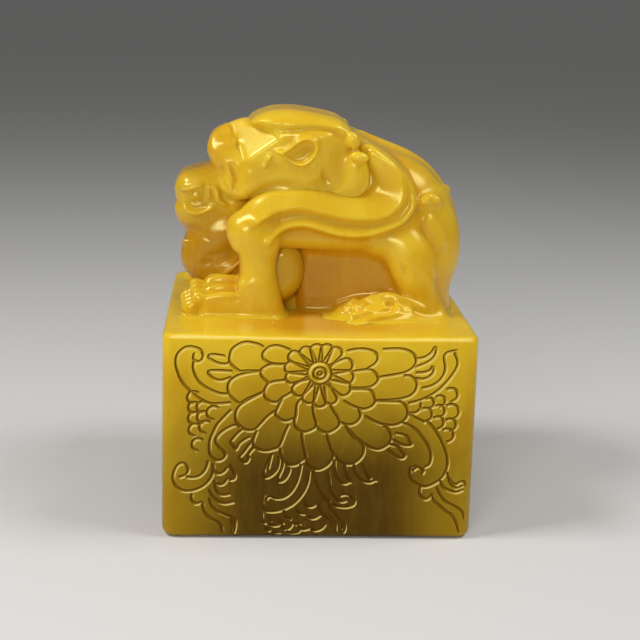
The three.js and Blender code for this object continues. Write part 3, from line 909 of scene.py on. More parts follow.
    def flames(self) -> list:
        """The broad flame bands, from the neck round the flank and forward to the shoulder.

        Returns:
            The forms to join.
        """
        band = ((7.6, 33.6), (10.5, 33.2), (13.2, 31.8), (15.8, 29.6), (17.6, 27.2), (18.8, 24.6),
                (18.9, 22.2), (18.1, 20.2), (16.5, 18.5), (13.9, 17.1), (10, 15.8), (6, 15.5), (2, 16.1),
                (-2, 17.2), (-4.6, 17.4), (-7.2, 16.6), (-9.4, 14.6), (-12.4, 14), (-15.4, 16),
                (-15.8, 19.4), (-13.8, 22.4), (-10, 24.6), (-3, 25.4), (3, 24.6), (8, 24.4), (10, 26.4),
                (10, 29), (8.6, 31.4))
        return pair(Pillow(band, -7, (9.4, 0, -0.15), (1.7, 2), blend=0.8))

    def tail(self) -> list:
        """The knot that ties the tail's tuft, and the drop that hangs on the near flank.

        Returns:
            The forms to join.
        """
        knot = ((19.7, 23.4), (20.9, 24.4), (22.9, 24.4), (24.3, 23.2), (24.2, 21.6), (22.2, 21),
                (20.2, 21.6))
        drop = ((20.7, 19.8), (22.1, 20.3), (23.8, 18.7), (25.3, 16.6), (25.8, 14.8), (25.1, 13.2),
                (23.5, 12.9), (22, 14.7), (20.8, 17.4))
        return [
            Limb(((26, -2, 24, 1.1, 1.2), (24, -6, 23.9, 1.2, 1.3), (22, -8, 23.4, 1.1, 1.2)), blend=1.4),
            Pillow(knot, (-15.1, 0.45, 0), 6, (0.9, 1), blend=0.5),
            Egg((20.6, -11.8, 23.2), (1.5, 0.9, 1), tilt=-15, blend=0.4),
            Egg((23, -10.7, 23.3), (1.2, 0.9, 0.8), tilt=20, blend=0.4),
            Pillow(drop, (-11.9, 0.26, 0), 6, (1.2, 1.2), blend=0.4),
        ]

    def lines(self) -> list:
        """The ridges of the flame band, the folds of the thigh and tail, and the strands of the mane.

        Returns:
            The lines of one side.
        """
        inner = ((8.4, 34.2), (10.5, 33.2), (12.6, 31.6), (14.7, 29.4), (16.2, 26.7), (16.4, 24),
                 (15.4, 22), (13.1, 20.3), (9.7, 19.6), (4.5, 19.8), (0.1, 20.7), (-3.4, 21.4),
                 (-5.8, 21.4), (-8.7, 20.6), (-11.4, 19.2), (-14, 17.8))
        outer = ((12.2, 32.4), (15.1, 30), (17, 27.6), (18.2, 25), (18.4, 22.5), (17.8, 20.8), (16.4, 19.1),
                 (13.9, 17.8), (10, 16.5), (6, 16.2), (2, 16.8), (-2, 17.9), (-4.6, 18), (-7.2, 17.3),
                 (-9.4, 15.6), (-10.2, 13.6))
        strands = (((-16.2, 20.6), (-12.6, 22.4), (-8, 23.2), (-2, 22.8)),
                   ((-13.6, 20.2), (-9, 22), (-3.6, 22)))
        return [
            Line(inner, 0.6, 1.4, 0.05, right=4.6),
            Line(outer, 0.5, 1.1, 0.05, right=1.2),
            Line(((20.4, 11.4), (22.6, 8.6), (24, 5.4), (24.8, 2.4)), 0.9, -0.5, 0.3),
            *(Line(strand, 0.7, -0.22, 0.3) for strand in strands),
            Line(((19, 23.2), (21.4, 23.5), (24, 23)), 0.5, -0.4, 0.2),
            Line(((15.6, 11.4), (17, 9.4), (17.6, 6.8)), 0.9, -0.5, 0.4),
        ]

    def carve(self, stone: StoneField) -> None:
        """Joins the mother's body, and slopes the paws' backs before the tendons are laid on them.

        Args:
            stone: her field.
        """
        for form in self.trunk() + self.legs() + self.flames() + self.paws():
            stone.join(form)
        for slope in self.paw_slopes():
            stone.carve(slope)
        for form in self.fore_toes() + self.hind_toes() + self.tail():
            stone.join(form)


@dataclass
class MotherHead(CarvedBeast):
    """Neck, head, crest, ears and locks of the mother, whose head turns a little to the near side."""

    piece: Piece = Piece(
        "mother_head_and_mane", "mother_stone",
        ("mother_head", "mother_crest", "mother_ear_near", "mother_ear_far", "mother_curl_near",
         "mother_curl_far"))
    low: tuple = (-24.5, -17.0, 16.0)
    high: tuple = (12.5, 19.0, 41.5)
    pitch: float = 0.24
    mid: float = -2.5
    inner: float = 3.0

    def skull(self) -> list:
        """The block of the head, the narrower muzzle before it, and the neck behind.

        Returns:
            The forms to join.
        """
        neck = ((-10, 24), (-4, 24.6), (4, 25), (9, 27), (9.6, 31), (8.2, 33.6), (5.4, 34.8), (0, 35),
                (-8, 34.8), (-12, 34.4))
        throat = ((-14, 20), (-12.6, 23.5), (-9, 26), (-3, 27.5), (1, 26.4), (2, 23), (0, 19), (-8, 18))
        head = ((-17.8, 33), (-15.9, 30), (-16.3, 27), (-16.6, 24), (-15, 22.6), (-13, 23.7), (-10.8, 25),
                (-7, 25.8), (-2.3, 25.4), (0.6, 27.4), (1.6, 31), (2.4, 35), (1, 37), (-4, 37.6),
                (-8.4, 36.8), (-11, 36.6), (-13.8, 37.8), (-15.8, 36.4))
        muzzle = ((-13.9, 37.6), (-15.3, 37.9), (-17, 37.4), (-18.9, 36.7), (-20.5, 35.9), (-21.5, 34.9),
                  (-22.1, 33.6), (-22.4, 32.1), (-22.1, 30.6), (-21.4, 29), (-20.6, 27.4), (-20.2, 25.2),
                  (-19, 23.2), (-16.4, 22), (-14, 22.6), (-11, 25), (-10, 30), (-11, 36))
        return [
            Pillow(neck, -0.6, 10.6, (4, 5)),
            Pillow(throat, -1.1, 11.2, (2.4, 2.4), blend=1),
            Pillow(head, -3.5, (10, 0.1, 0), (2, 2.6), blend=1.4),
            Pillow(muzzle, -3.5, (11.4, 0.24, 0), (3, 3.6), blend=0.5),
        ]

    def facets(self) -> list:
        """What is cut from the head's upper corners: the flat brow and the side of the nose.

        Returns:
            The forms to cut away.
        """
        corner = (-14.9, -11.9, 30.4)
        brow = Facet(((corner, (0.486, 0.652, -0.582)), ((-8, -12, 34), (0.8, -0.4, 0.4)),
                      (corner, (-0.93, -0.1, -0.36))), (-21, -17, 29), (-6, -3.5, 40), blend=0.25)
        nose = Facet((((-17, -10.2, 31.4), (0.1, 0.78, -0.62)), ((-15.2, -11, 31), (0.93, 0.1, 0.36))),
                     (-24, -17, 28), (-12, -3.5, 40), blend=1.2)
        return pair(brow, nose, mid=self.mid - 1)

    def crest(self) -> list:
        """The drop of hair that sweeps back over the brow.

        Returns:
            The forms to join.
        """
        drop = ((-14.2, 37.4), (-13.2, 38.7), (-11.5, 39.5), (-9.4, 40.1), (-6, 40.3), (-2.2, 39.9),
                (2.7, 38.9), (4.8, 37.8), (6.3, 36.2), (5.6, 35.2), (3.2, 35.4), (-0.6, 35.2), (-4.3, 34.8),
                (-7.9, 34.4), (-10.2, 35.6), (-12.2, 36.8))
        return [Pillow(drop, -2.9, (10.6, 0.06, 0), (3, 5), blend=0.9)]

    def ears(self) -> tuple:
        """The ears, leaves that point forward, and the cups cut into them.

        Returns:
            The forms to join, and those to cut away.
        """
        mid = self.mid + 1
        rim = ((-9.2, 32.5), (-7.5, 32.7), (-6.2, 33.6), (-4.9, 34.9), (-3, 35.6), (-1.2, 35.1),
               (-0.5, 33.6), (-0.9, 32), (-2, 30.5), (-3.4, 29.6), (-5.2, 30), (-7.2, 31.3))
        cup = ((-7.4, 32), (-6, 33), (-4.7, 34.1), (-3, 34.8), (-1.8, 34.3), (-1.3, 33.3), (-1.6, 32.1),
               (-2.5, 31), (-3.8, 30.2), (-5.4, 30.2), (-6.8, 31))
        leaf = pair(Pillow(rim, -12, (2.5, 0.05, 0), (0.7, 0.9), blend=0.35), mid=mid)
        cups = pair(Pillow(cup, -15.4, (2.2, -0.06, 0), (1, 1.2), blend=0.3), mid=mid)
        return leaf, cups

    def locks(self) -> list:
        """The locks behind the ears: a hanging column, a broad drop, and two knobs above it.

        Returns:
            The forms to join.
        """
        column = ((-1, 35), (1.4, 36.4), (4.6, 36), (5.9, 33.4), (6, 30), (5, 27), (3, 25), (0.4, 25),
                  (-0.4, 28.8))
        lobe = ((3.2, 29.4), (4.2, 32), (6.6, 32.8), (8.8, 31.8), (9.7, 29), (9.8, 26), (8.6, 23.9),
                (6, 23), (2.6, 23.3), (0.8, 24.4), (2.4, 26.4))
        return pair(
            Pillow(column, -6, 6.4, (2, 2.2), blend=1.6),
            Pillow(lobe, -6, (6.8, 0.1, 0), (3.4, 3.4), blend=0.8),
            Egg((6, -12.4, 34.8), (1.3, 1.3, 1.8), tilt=-20, blend=0.4),
            Egg((7.3, -13.4, 31.7), (1.9, 1.2, 1.1), tilt=10, blend=0.3),
        )

    def lines(self) -> list:
        """Furrows of crest, nose and mouth, the two short marks of the eye, and the folds of the locks.

        Returns:
            The lines of one side.
        """
        return [
            Line(((-10, 36.8), (-6, 36.6), (-1, 37), (4, 36.4)), 0.8, -0.35, 0.2),
            Line(((-7.2, 36), (-7.6, 37.2), (-7, 38.6)), 0.8, -0.2, 0.3),
            Line(((-17.8, 30), (-17.2, 28.2), (-16.6, 26.6), (-16.9, 25), (-15.7, 23.6)), 0.7, -0.8, 0.2),
            Line(((-19.6, 29.4), (-18.9, 27.6), (-19.1, 26), (-17.8, 23.6)), 0.7, -0.6, 0.2),
            Line(((-20.6, 33.6), (-17.8, 33.4), (-15.4, 34.6)), 1.2, 0.4, 0.3),
            Line(((-9.9, 31.6), (-10.5, 30.3)), 0.42, 1.0, 0.1, right=0.9),
            Line(((-10.7, 29.8), (-11.1, 29.1)), 0.4, 0.9, 0.1, right=0.9),
            Line(((-0.4, 34.6), (-0.1, 31), (0.2, 28)), 0.8, -0.25, 0.3),
            Line(((0, 29.8), (0.7, 27.6), (2.4, 26)), 1.4, -0.5, 0.3, power=1.2),
            Line(((9, 29.4), (9.1, 26.4), (7.8, 24.3), (5.4, 23.7), (2.4, 24.2)), 0.6, 0.4, 0.2),
        ]

    def carve(self, stone: StoneField) -> None:
        """Joins the head, then cuts the facets and the ears' cups.

        Args:
            stone: her field.
        """
        for form in self.skull():
            stone.join(form)
        for facet in self.facets():
            stone.carve(facet)
        leaf, cups = self.ears()
        for form in self.crest() + self.locks() + leaf:
            stone.join(form)
        for cup in cups:
            stone.carve(cup)


@dataclass
class Cub(CarvedBeast):
    """The cub that lies under its mother's chin and chest."""

    piece: Piece = Piece(
        "cub_carving", "cub_stone",
        ("cub_body", "cub_head", "cub_ear_near", "cub_ear_far", "cub_foreleg_near", "cub_foreleg_far",
         "cub_haunch_near", "cub_haunch_far"))
    low: tuple = (-30.5, -11.5, -1.0)
    high: tuple = (2.5, 19.0, 29.5)
    pitch: float = 0.22
    mid: float = 0.0
    inner: float = 1.5

    def trunk(self) -> list:
        """Chest, belly and the haunches that fill the arch behind the mother's forelegs.

        Returns:
            The forms to join.
        """
        body = ((-25.8, 15.5), (-27, 13), (-27.4, 10), (-26.8, 8), (-25.4, 6.2), (-23, 4.8), (-20.4, 3),
                (-19, -2), (-2.6, -2), (-2.6, 8), (-4, 12.6), (-10, 15), (-15, 18.6), (-20, 19.4),
                (-24, 18.4))
        haunch = ((-11.4, 7.2), (-10.6, 11.4), (-8.4, 13.6), (-6.6, 13.9), (-4.3, 12.8), (-2.9, 10.2),
                  (-2.8, 6.4), (-4.2, 3.6), (-7, 1.6), (-10.4, 1.8))
        return [
            Pillow(body, 2, 9, (5, 5.4)),
            *pair(
                Pillow(haunch, -4.4, 6.4, (2.8, 3.2), blend=0.4),
                Egg((-17.6, -5.8, 15.8), (3.6, 2.4, 3), tilt=-30, blend=2),
                Egg((-21.2, -5, 14.8), (4, 2.6, 4), blend=2.5),
                Egg((-17.4, -5.4, 8), (4.6, 2.6, 3), tilt=20, blend=1.6),
                Limb(((-19.6, -8.1, 6.6, 0.4, 0.4), (-17.7, -8.6, 7.8, 0.45, 0.5),
                      (-15.6, -8.7, 9.8, 0.4, 0.4)), blend=0.2),
            ),
        ]

    def head(self) -> list:
        """A round skull with cheeks, and the brow over each eye.

        Returns:
            The forms to join.
        """
        skull = ((-20.4, 28.7), (-23.2, 28.2), (-25.4, 27.6), (-27.4, 26.8), (-28.5, 25.3), (-28.9, 23.4),
                 (-28.5, 21.2), (-28.9, 19.8), (-28.5, 18), (-27.6, 16.4), (-25, 15), (-19, 15.4),
                 (-13.6, 18.4), (-13, 24), (-17, 28))
        brow = ((-28.2, 23.7), (-26.5, 24.4), (-24.6, 24.8), (-22.8, 24.4), (-23, 23.6), (-24.6, 24),
                (-26.4, 23.6))
        cheek = ((-26.4, 19.6), (-24.6, 19.2), (-22.4, 19.8), (-20, 20.4), (-18.8, 18.6), (-20.4, 16),
                 (-24, 15.6), (-26.6, 17))
        return [
            Pillow(skull, 0, 7.6, (4.2, 4.6), blend=1.6),
            *pair(
                Pillow(cheek, -3, 4.4, (1.6, 1.8), blend=0.6),
                Pillow(brow, -3.4, 4.1, (0.5, 0.8), blend=0.3),
                mid=0.0),
        ]

    def eyes(self) -> list:
        """The shallow sockets of the eyes."""
        return pair(Egg((-24.6, -8.9, 22), (2.6, 2, 1.9), blend=0.5), mid=0.0)

    def eyeballs(self) -> list:
        """The round eyeballs, and the ears behind them.

        Returns:
            The forms to join.
        """
        return pair(
            Egg((-24.4, -6.3, 22.7), (1.9, 1.5, 1.2), tilt=-8, blend=0.1),
            Limb(((-21.9, -7.5, 24.6, 0.5, 0.45), (-21.9, -7.7, 22.5, 0.5, 0.45)), blend=0.1),
            Limb(((-21, -7.4, 24.8, 0.5, 0.45), (-20.3, -7.9, 23.4, 0.6, 0.6),
                  (-19.9, -7.9, 21.8, 0.6, 0.6), (-18.8, -7.6, 21.1, 0.6, 0.5)), blend=0.1),
            mid=0.0)

    def paws(self) -> list:
        """The forelegs, bent at the elbow, with three toes folded against the chest.

        Returns:
            The forms to join.
        """
        forms = []
        for leg_y, way in ((-4.2, -1), (8.6, 1)):
            leg = ((-20, leg_y, 12.6, 3, 3.2), (-23.2, leg_y, 11.4, 3.2, 3.4), (-24.2, leg_y, 9.2, 3.2, 3),
                   (-22.8, leg_y, 6.8, 3, 2.6), (-20.4, leg_y, 4.4, 3, 2.2))
            forms.append(Limb(leg, blend=1.8))
            for i in range(3):
                z = 12.9 - 2.2 * i
                x = -24 + 0.5 * i
                toe = ((x + 3.4, leg_y + 2.9 * way, z + 0.2, 0.4, 0.7),
                       (x, leg_y + 2.6 * way, z - 0.3, 0.7, 0.9),
                       (x - 2.6, leg_y + 1.2 * way, z + 0.1, 0.7, 0.8))
                forms.append(Limb(toe, blend=0.4))
        return forms

    def lines(self) -> list:
        """The corner of the mouth, the rim of the cheek and strands of fur on the chest.

        Returns:
            The lines of one side.
        """
        return [
            Line(((-27, 21), (-26.4, 20), (-25.2, 19.3), (-23.7, 19.3), (-22, 20), (-20.4, 20.7)),
                 0.6, 0.8, 0.1),
            Line(((-26.6, 21.4), (-25.4, 20.2), (-23.7, 20.2), (-22, 21)), 0.6, -0.5, 0.1),
            Line(((-27.6, 24.2), (-25.8, 24), (-24.2, 24.7), (-22.8, 24.8)), 0.7, 0.6, 0.1),
            Line(((-19.2, 21.1), (-17, 21.2), (-15, 21.2)), 0.35, 0.3, 0.1),
            Line(((-26.4, 16.6), (-23.6, 16), (-21.6, 15)), 0.5, -0.22, 0.2),
            Line(((-25.4, 15.2), (-22.8, 14.6), (-20.6, 13.4)), 0.5, -0.22, 0.2),
            Line(((-22.4, 10.6), (-19.6, 11.2), (-16.4, 12.4)), 0.5, -0.2, 0.2),
            Line(((-21.4, 8.6), (-18.6, 9.4), (-15.8, 11)), 0.5, -0.2, 0.2),
        ]

    def carve(self, stone: StoneField) -> None:
        """Joins the cub, cuts its eye sockets and sets the eyes.

        Args:
            stone: its field.
        """
        for form in self.trunk() + self.head() + self.paws():
            stone.join(form)
        for socket in self.eyes():
            stone.carve(socket)
        for form in self.eyeballs():
            stone.join(form)


# The block


class Ornament:
    """Chrysanthemum among scrolls, in millimetres from the middle of the front face's foot: x, then z.

    A small petal is its tip and its width, and its tip's length and its root's width are shares of that. A
    berry is its middle and its radius, and its arc is a share of half a turn. The other strokes are points
    that a smooth path runs through.
    """

    step = 0.35
    centre = (-0.2, 33.3)
    berry_arc = (-0.44, 0.66)
    petal_tip = 0.42
    petal_root = 0.75
    rings = (2.3, 1.2, 0.4)
    small_petals = (
        (-1.1, 39.2, 2.2), (-3.5, 38.5, 2.2), (-6, 37.2, 2.3), (-6.8, 34.6, 2.2), (-6.6, 32.2, 2.2),
        (-5, 29.2, 2.6), (-2.6, 27.4, 2.4), (0, 26.6, 2.3), (2.5, 27.3, 2.3), (5.5, 29.6, 2.8),
        (6.2, 32.5, 2.6), (5.9, 35.5, 2.6), (3.4, 38.4, 2.3), (1.2, 39.2, 2.1),
    )
    medium_petals = (
        ((-6, 38), (-7.2, 38.5), (-8.6, 38.8), (-10, 38.4), (-11, 37.2), (-10.9, 36.2), (-10, 35.4),
         (-8.8, 35.1), (-7, 35.1)),
        ((-6.8, 35), (-8.8, 35), (-10, 34.8), (-11.2, 34), (-11.4, 33.4), (-11, 32.4), (-10, 31.4)),
        ((-6.6, 31.9), (-8.8, 31.6), (-10, 31), (-10.6, 29.8), (-10.5, 28.6), (-9.6, 27.7), (-8.2, 27.5),
         (-7.2, 28.4), (-5.4, 29.5)),
        ((-7.4, 27.9), (-8.1, 26.2), (-8.4, 25.2), (-7.6, 24.2), (-6.4, 23.8), (-5.2, 24.2), (-4.6, 24.6),
         (-4.4, 27), (-3.8, 28)),
        ((-4.6, 24.6), (-4.8, 23.4), (-4.2, 22.2), (-3, 21.6), (-1.6, 22), (-0.6, 23), (-1.2, 25.4),
         (-1.4, 27.4)),
        ((-0.6, 23), (0, 22.1), (1.5, 21.5), (3, 22.2), (3.8, 23.2), (3.6, 24.4), (2.8, 25.6), (2, 27)),
        ((4, 23.6), (5, 23.2), (6.2, 23.2), (7.2, 23.8), (7.8, 25), (7.4, 26.2)),
        ((6, 30.2), (8.6, 30.2), (9.8, 29.8), (10.4, 28.6), (10.5, 27.8), (9.8, 26.8), (8.6, 26.3),
         (7.6, 26.4), (6, 27), (4.6, 27.8)),
        ((6, 33.8), (8.8, 34.2), (10, 33.8), (10.9, 32.6), (10.6, 31.6), (9.6, 30.8), (8, 30.5),
         (5.8, 30.5)),
        ((5, 38), (7, 38.4), (9, 38.2), (10.4, 37.4), (10.7, 36.4), (10.2, 35.4), (9.4, 34.8), (8.6, 34.2)),
    )
    large_petals = (
        ((-11.2, 38.6), (-12, 39), (-13, 39.2), (-14.2, 39.3), (-15.6, 38.8), (-16.8, 37.8), (-17.2, 36.6),
         (-17.2, 35.4), (-16.4, 34.3), (-15.2, 33.5), (-14, 33.6), (-11.6, 33.6)),
        ((-11.2, 33.6), (-13.2, 33.3), (-15.2, 32.8), (-16.4, 32.2), (-17.2, 31.4), (-17.5, 30.2),
         (-17.2, 29), (-16.2, 27.8), (-15.2, 27.2), (-14, 28), (-12.4, 28.7), (-11, 29.4)),
        ((-11, 29.3), (-13, 28.2), (-14.6, 27.2), (-15.6, 26.2), (-16, 25), (-15.9, 23.8), (-15.2, 22.8),
         (-14.2, 22), (-13, 21.9), (-12.2, 22.1), (-11.2, 23.2), (-10, 24.6), (-8.6, 25.7)),
        ((-12, 21.6), (-12.6, 19.8), (-12.4, 18.8), (-11.6, 18.1), (-10.2, 17.8), (-8.8, 18.1),
         (-7.6, 18.7), (-6.6, 21.4), (-6, 22.8)),
        ((-7.4, 18.2), (-7.2, 17), (-6.6, 15.8), (-5.6, 15), (-4.2, 15.1), (-3.2, 15.9), (-2.5, 16.5),
         (-3.2, 20), (-3.3, 21.4)),
        ((-2.5, 16.5), (-2, 15.2), (-1, 14.4), (0, 14.1), (1.2, 14.6), (2.2, 15.6), (2.9, 17.2),
         (2.4, 18.2), (1.8, 20), (1.5, 21)),
        ((2.9, 17.4), (3.8, 16.2), (4.8, 15.4), (6, 15.2), (6.8, 15.4), (7.8, 16.2), (8.5, 17.4),
         (8.4, 19.2), (6.6, 20.7), (5.6, 22), (5, 23)),
        ((5.8, 22), (7, 20.6), (8.8, 19.3), (10, 18.6), (11.6, 18.3), (13, 19), (13.6, 19.8), (13.8, 21),
         (13.1, 22.4), (12.4, 22.8)),
        ((8.8, 24.8), (10.4, 23.9), (12, 23.3), (13.6, 23.1), (15.2, 23.4), (16.4, 24.4), (16.8, 25.6),
         (16.5, 26.8), (15.4, 27.7), (14.4, 27.8), (10.8, 27.9)),
        ((10.8, 28), (14, 28.2), (16, 28.6), (17.4, 29.2), (18.2, 30.4), (18.3, 31.6), (17.8, 32.4),
         (16.8, 33), (16, 33)),
        ((11.2, 32.7), (14, 33.2), (16, 33.7), (17.4, 34.6), (18, 35.8), (17.8, 36.8), (16.8, 37.8),
         (15.4, 38.3), (14, 38.4), (11.8, 38.3)),
    )
    left_scrolls = (
        ((-18.4, 36.5), (-20, 36.7), (-21, 36.6), (-21.2, 36.2), (-20.6, 35.6), (-19.2, 35), (-18, 34.9),
         (-17.2, 35.2)),
        ((-17, 33.5), (-19.6, 33.6), (-21.2, 33.4), (-21, 32.8), (-20.2, 32), (-18.8, 31.7), (-17.2, 32.2)),
        ((-23.9, 36.7), (-24, 35.8), (-23.2, 35.2), (-22.4, 35.7), (-22.2, 36.7), (-22.8, 37.6),
         (-23.8, 38), (-25, 38.1), (-26, 37.7), (-27, 36.6), (-27.3, 35), (-26.9, 33.2), (-26, 31.2),
         (-24.4, 29.3), (-22.6, 27.9), (-20.8, 27.1), (-19, 27.1), (-17.2, 27.3)),
        ((-24, 35), (-24, 33.8), (-23.4, 32.2), (-22.4, 30.8), (-20.8, 29.8), (-19, 29.1), (-17.6, 29)),
        ((-17, 25.7), (-18.2, 24.4), (-19.4, 23), (-20.1, 21.6), (-20.8, 19.8), (-20.9, 18), (-20.6, 16.8),
         (-19.6, 15.8), (-18.6, 15.9), (-17.9, 16.6), (-18, 17.4), (-19, 18.4), (-19.7, 19.6),
         (-19.4, 20.6), (-18.2, 21.8), (-17, 22.5), (-15.9, 22.9), (-15.2, 22.4)),
        ((-14.8, 21.9), (-15.6, 21.2), (-16.4, 20.2), (-16.9, 19.4), (-16.2, 18.6), (-15.9, 17.9),
         (-15.2, 19.2), (-14.2, 20), (-13.4, 20.5)),
        ((-12.8, 19.6), (-13.6, 18.6), (-14.4, 17.4), (-15.2, 16.4), (-14.6, 15.8), (-13.9, 15.4),
         (-13.4, 16.2), (-13.6, 16.8), (-12.8, 18), (-12.1, 18.5)),
        ((-26.4, 12.4), (-25.4, 12.8), (-24.9, 13.6), (-25.1, 14.6), (-26, 15.2), (-27, 14.6),
         (-27.6, 13.4), (-27.8, 12), (-27.2, 10.6), (-26, 9.7), (-24.4, 9.6), (-22.8, 10.1), (-21.4, 11.1),
         (-20.4, 12.6), (-20.1, 14.2), (-20.2, 15)),
        ((-25, 12.4), (-24, 12.3), (-22.8, 12.6), (-21.8, 13.6), (-21.3, 14.8), (-21.2, 15.4)),
        ((-24.2, 8.8), (-24.2, 7.8), (-23.4, 7), (-22.4, 7.3)),
        ((-20, 14), (-19.6, 13.3), (-18.8, 13.1), (-18, 13.6), (-17.6, 14.2)),
        ((-16.9, 14.8), (-16.4, 14), (-16, 13), (-16.1, 12.1), (-16.8, 11.9), (-17.3, 12.2), (-18, 11.2),
         (-18.6, 10.9), (-19.2, 11.1)),
        ((-19.9, 11.6), (-19.6, 10.2), (-19, 9.1), (-18, 8.8), (-17, 9)),
        ((-20.8, 9.8), (-20.2, 8.6), (-19.2, 7.6), (-17.8, 7.1), (-16.2, 7.4)),
        ((-22.1, 7), (-21.8, 5.6), (-20.8, 4.2), (-19.2, 3.3), (-18.5, 2.6), (-18.3, 1.4)),
        ((-20.8, 8), (-20.4, 6.8), (-19.4, 5.6), (-17.6, 4.8), (-16, 4), (-15.8, 3), (-16, 1.4),
         (-16.3, 0.8)),
        ((-16.6, 3.8), (-16.2, 2.6), (-16.6, 1.2)),
    )
    foot_scrolls = (
        ((-3.4, 14.8), (-3.7, 13), (-4.2, 11.2), (-5.2, 9.4), (-6.6, 8.3), (-8, 8.2), (-9, 8.6),
         (-9.8, 8.2), (-9.9, 7.7)),
        ((-1.8, 13.6), (-2, 11.6), (-2.6, 9.8), (-3.6, 8.2), (-5, 6.8), (-7, 5.8), (-8.8, 5.5), (-10, 5.8),
         (-10.6, 6.8), (-10.5, 8.2), (-10.2, 8.8)),
        ((-1, 13.6), (-0.4, 11.6), (0, 10.8), (0.8, 9.2), (2.2, 7.6)),
        ((1.8, 13.6), (2.1, 12), (2.4, 10.2), (3.2, 8.8), (4, 8), (4.8, 7.6), (5.4, 7.8)),
        ((4.5, 8.9), (5.6, 9.1), (6.6, 8.6), (7.1, 7.8), (7, 7), (6.2, 6.6), (5, 6.5), (3.8, 6.7),
         (3, 7.2)),
        ((2.2, 7.2), (3, 5.8), (4, 4.6), (4.8, 3.8), (5.3, 3), (5.4, 1.8), (5.1, 1)),
        ((0, 7), (1, 5.4), (2.2, 4.2), (3, 3.2), (3.1, 2)),
        ((2.6, 4.8), (3.5, 3), (3.6, 1.5)),
        ((4.7, 3.6), (4.9, 2)),
        ((-9.1, 16.9), (-9.8, 15.2), (-10.4, 14), (-10.5, 13), (-9.9, 12.4), (-8.8, 13), (-8, 14),
         (-7.7, 15.2), (-7.7, 16.6)),
        ((-9.7, 14.2), (-9.2, 16.6)),
        ((-6.8, 15.4), (-7.1, 14), (-7.6, 12.8), (-7.8, 12), (-7.2, 11.6), (-6.3, 12.2), (-5.7, 13.4),
         (-5.6, 14.2)),
        ((3, 15.8), (3.1, 14.2), (3.6, 12.8), (4.4, 11.7), (5.3, 11.3), (6.2, 11.7), (6.7, 11.5)),
        ((5, 15.2), (5.2, 14), (5.7, 12.6), (6.4, 12.1)),
        ((6.8, 15), (7.2, 13.6), (8, 12.5), (9, 11.8), (10.1, 11.6), (10.9, 12), (11.3, 12)),
        ((8.6, 15.2), (9, 14), (9.6, 13), (10.1, 12.4)),
    )
    florets = (
        ((-10.7, 5), (-10.6, 3.6), (-10, 3.2)), ((-9.2, 4.6), (-9, 3.9), (-8.7, 3.6)),
        ((-8.9, 2.9), (-8.2, 2.6), (-7.4, 2.7)), ((-7.5, 4.2), (-7, 3.2), (-6.6, 3.1)),
        ((-6.4, 5.4), (-6, 4.6), (-5, 4)), ((-4.6, 3.4), (-4, 2.9), (-3.4, 2.9)),
        ((-4, 6), (-3.2, 5.2), (-2, 5)), ((-1.8, 4.6), (-0.8, 4.1), (0, 4.4), (0.4, 4.7)),
        ((-3.4, 2.4), (-2.6, 1.8), (-1.4, 2.1)), ((-1, 2), (-0.2, 1.6), (1, 2.1), (1.4, 2.7)),
        ((-9.9, 2.2), (-9.4, 1.6), (-8.8, 1.7)), ((-8.5, 1.4), (-7.8, 0.9), (-7.2, 1)),
        ((-6.7, 2.6), (-6.2, 2), (-5.4, 2), (-4.8, 3)), ((-5.6, 1.2), (-4.6, 0.8), (-3.8, 1), (-3.3, 1.7)),
        ((-2.6, 8), (-2.2, 7), (-1.2, 6.5), (-0.2, 7)),
    )
    right_scrolls = (
        ((18.2, 36.4), (19.6, 36.7), (20.8, 37.6), (21.5, 38.8), (21.7, 37.8), (21.2, 36.6), (20, 35.6),
         (18, 34.8)),
        ((18.2, 33.6), (19.6, 33.7), (20.8, 34.2), (21.1, 35), (21.4, 34), (20.8, 33), (19.6, 32.4),
         (18.2, 32.5)),
        ((19.5, 30.6), (21, 31), (22.4, 31.9), (23.3, 33.2), (23.6, 34.6), (23.4, 35.8), (23.3, 37),
         (24, 37.7), (25.4, 38)),
        ((25.3, 37.4), (25.9, 36), (25.7, 34.6), (24.8, 33), (23.6, 31.4), (22, 29.8), (20, 28.6),
         (18.6, 28), (17, 27.6)),
        ((17, 25.6), (18.4, 25.7), (19.2, 26.6), (19.2, 27.4)),
        ((17, 25.4), (18.4, 24.6), (20, 23.8)),
        ((16, 23.6), (17.4, 23), (18.8, 22), (20.2, 20.3), (21.2, 18.8), (21.6, 17.4), (21.6, 16.2),
         (21.3, 15.2), (20.6, 14.8)),
        ((20.1, 13.5), (20.3, 14), (19.2, 14.7), (18.4, 14.2)),
        ((20.6, 24), (21.6, 23), (22.8, 21.4), (23.8, 19.6), (24.6, 17.6), (24.9, 15.4), (24.4, 13.4),
         (23.2, 11.9), (21, 10.8), (19.2, 11.3), (17.9, 12.6), (17.7, 14.4), (18.6, 14.9)),
        ((14.8, 21.5), (16, 21.3), (17, 20.8), (17.4, 20), (17.8, 19.2), (16.6, 19.1), (15.2, 19.6),
         (14.2, 20.2)),
        ((13.8, 19.3), (15.2, 18.8), (16, 17.8), (16.6, 17), (16, 16.5), (14.6, 17.2), (13.3, 18.2)),
        ((25, 13.5), (25.3, 12.6), (26, 11.6), (26.8, 11.2), (27.4, 11.7), (28.2, 11.8), (28.8, 11.2)),
        ((25.4, 12), (26.2, 10.8), (27, 10.5), (27.9, 10.9)),
        ((23.7, 11.8), (24.4, 10.6), (25.6, 10), (26.8, 9.7), (28, 10.1)),
        ((19.8, 10.6), (19.7, 9.6), (20.2, 8.6), (21.1, 8.2), (22.2, 9)),
        ((22.2, 9.2), (22.6, 8), (23.8, 6.8), (25.2, 5.6), (26.2, 5), (27, 3.8), (27.5, 2.6), (27.7, 1.8)),
        ((23.1, 10.6), (23.8, 9.2), (24.8, 7.8), (26.2, 7), (27.6, 6.2), (28.6, 5.2), (28.8, 4.4)),
    )
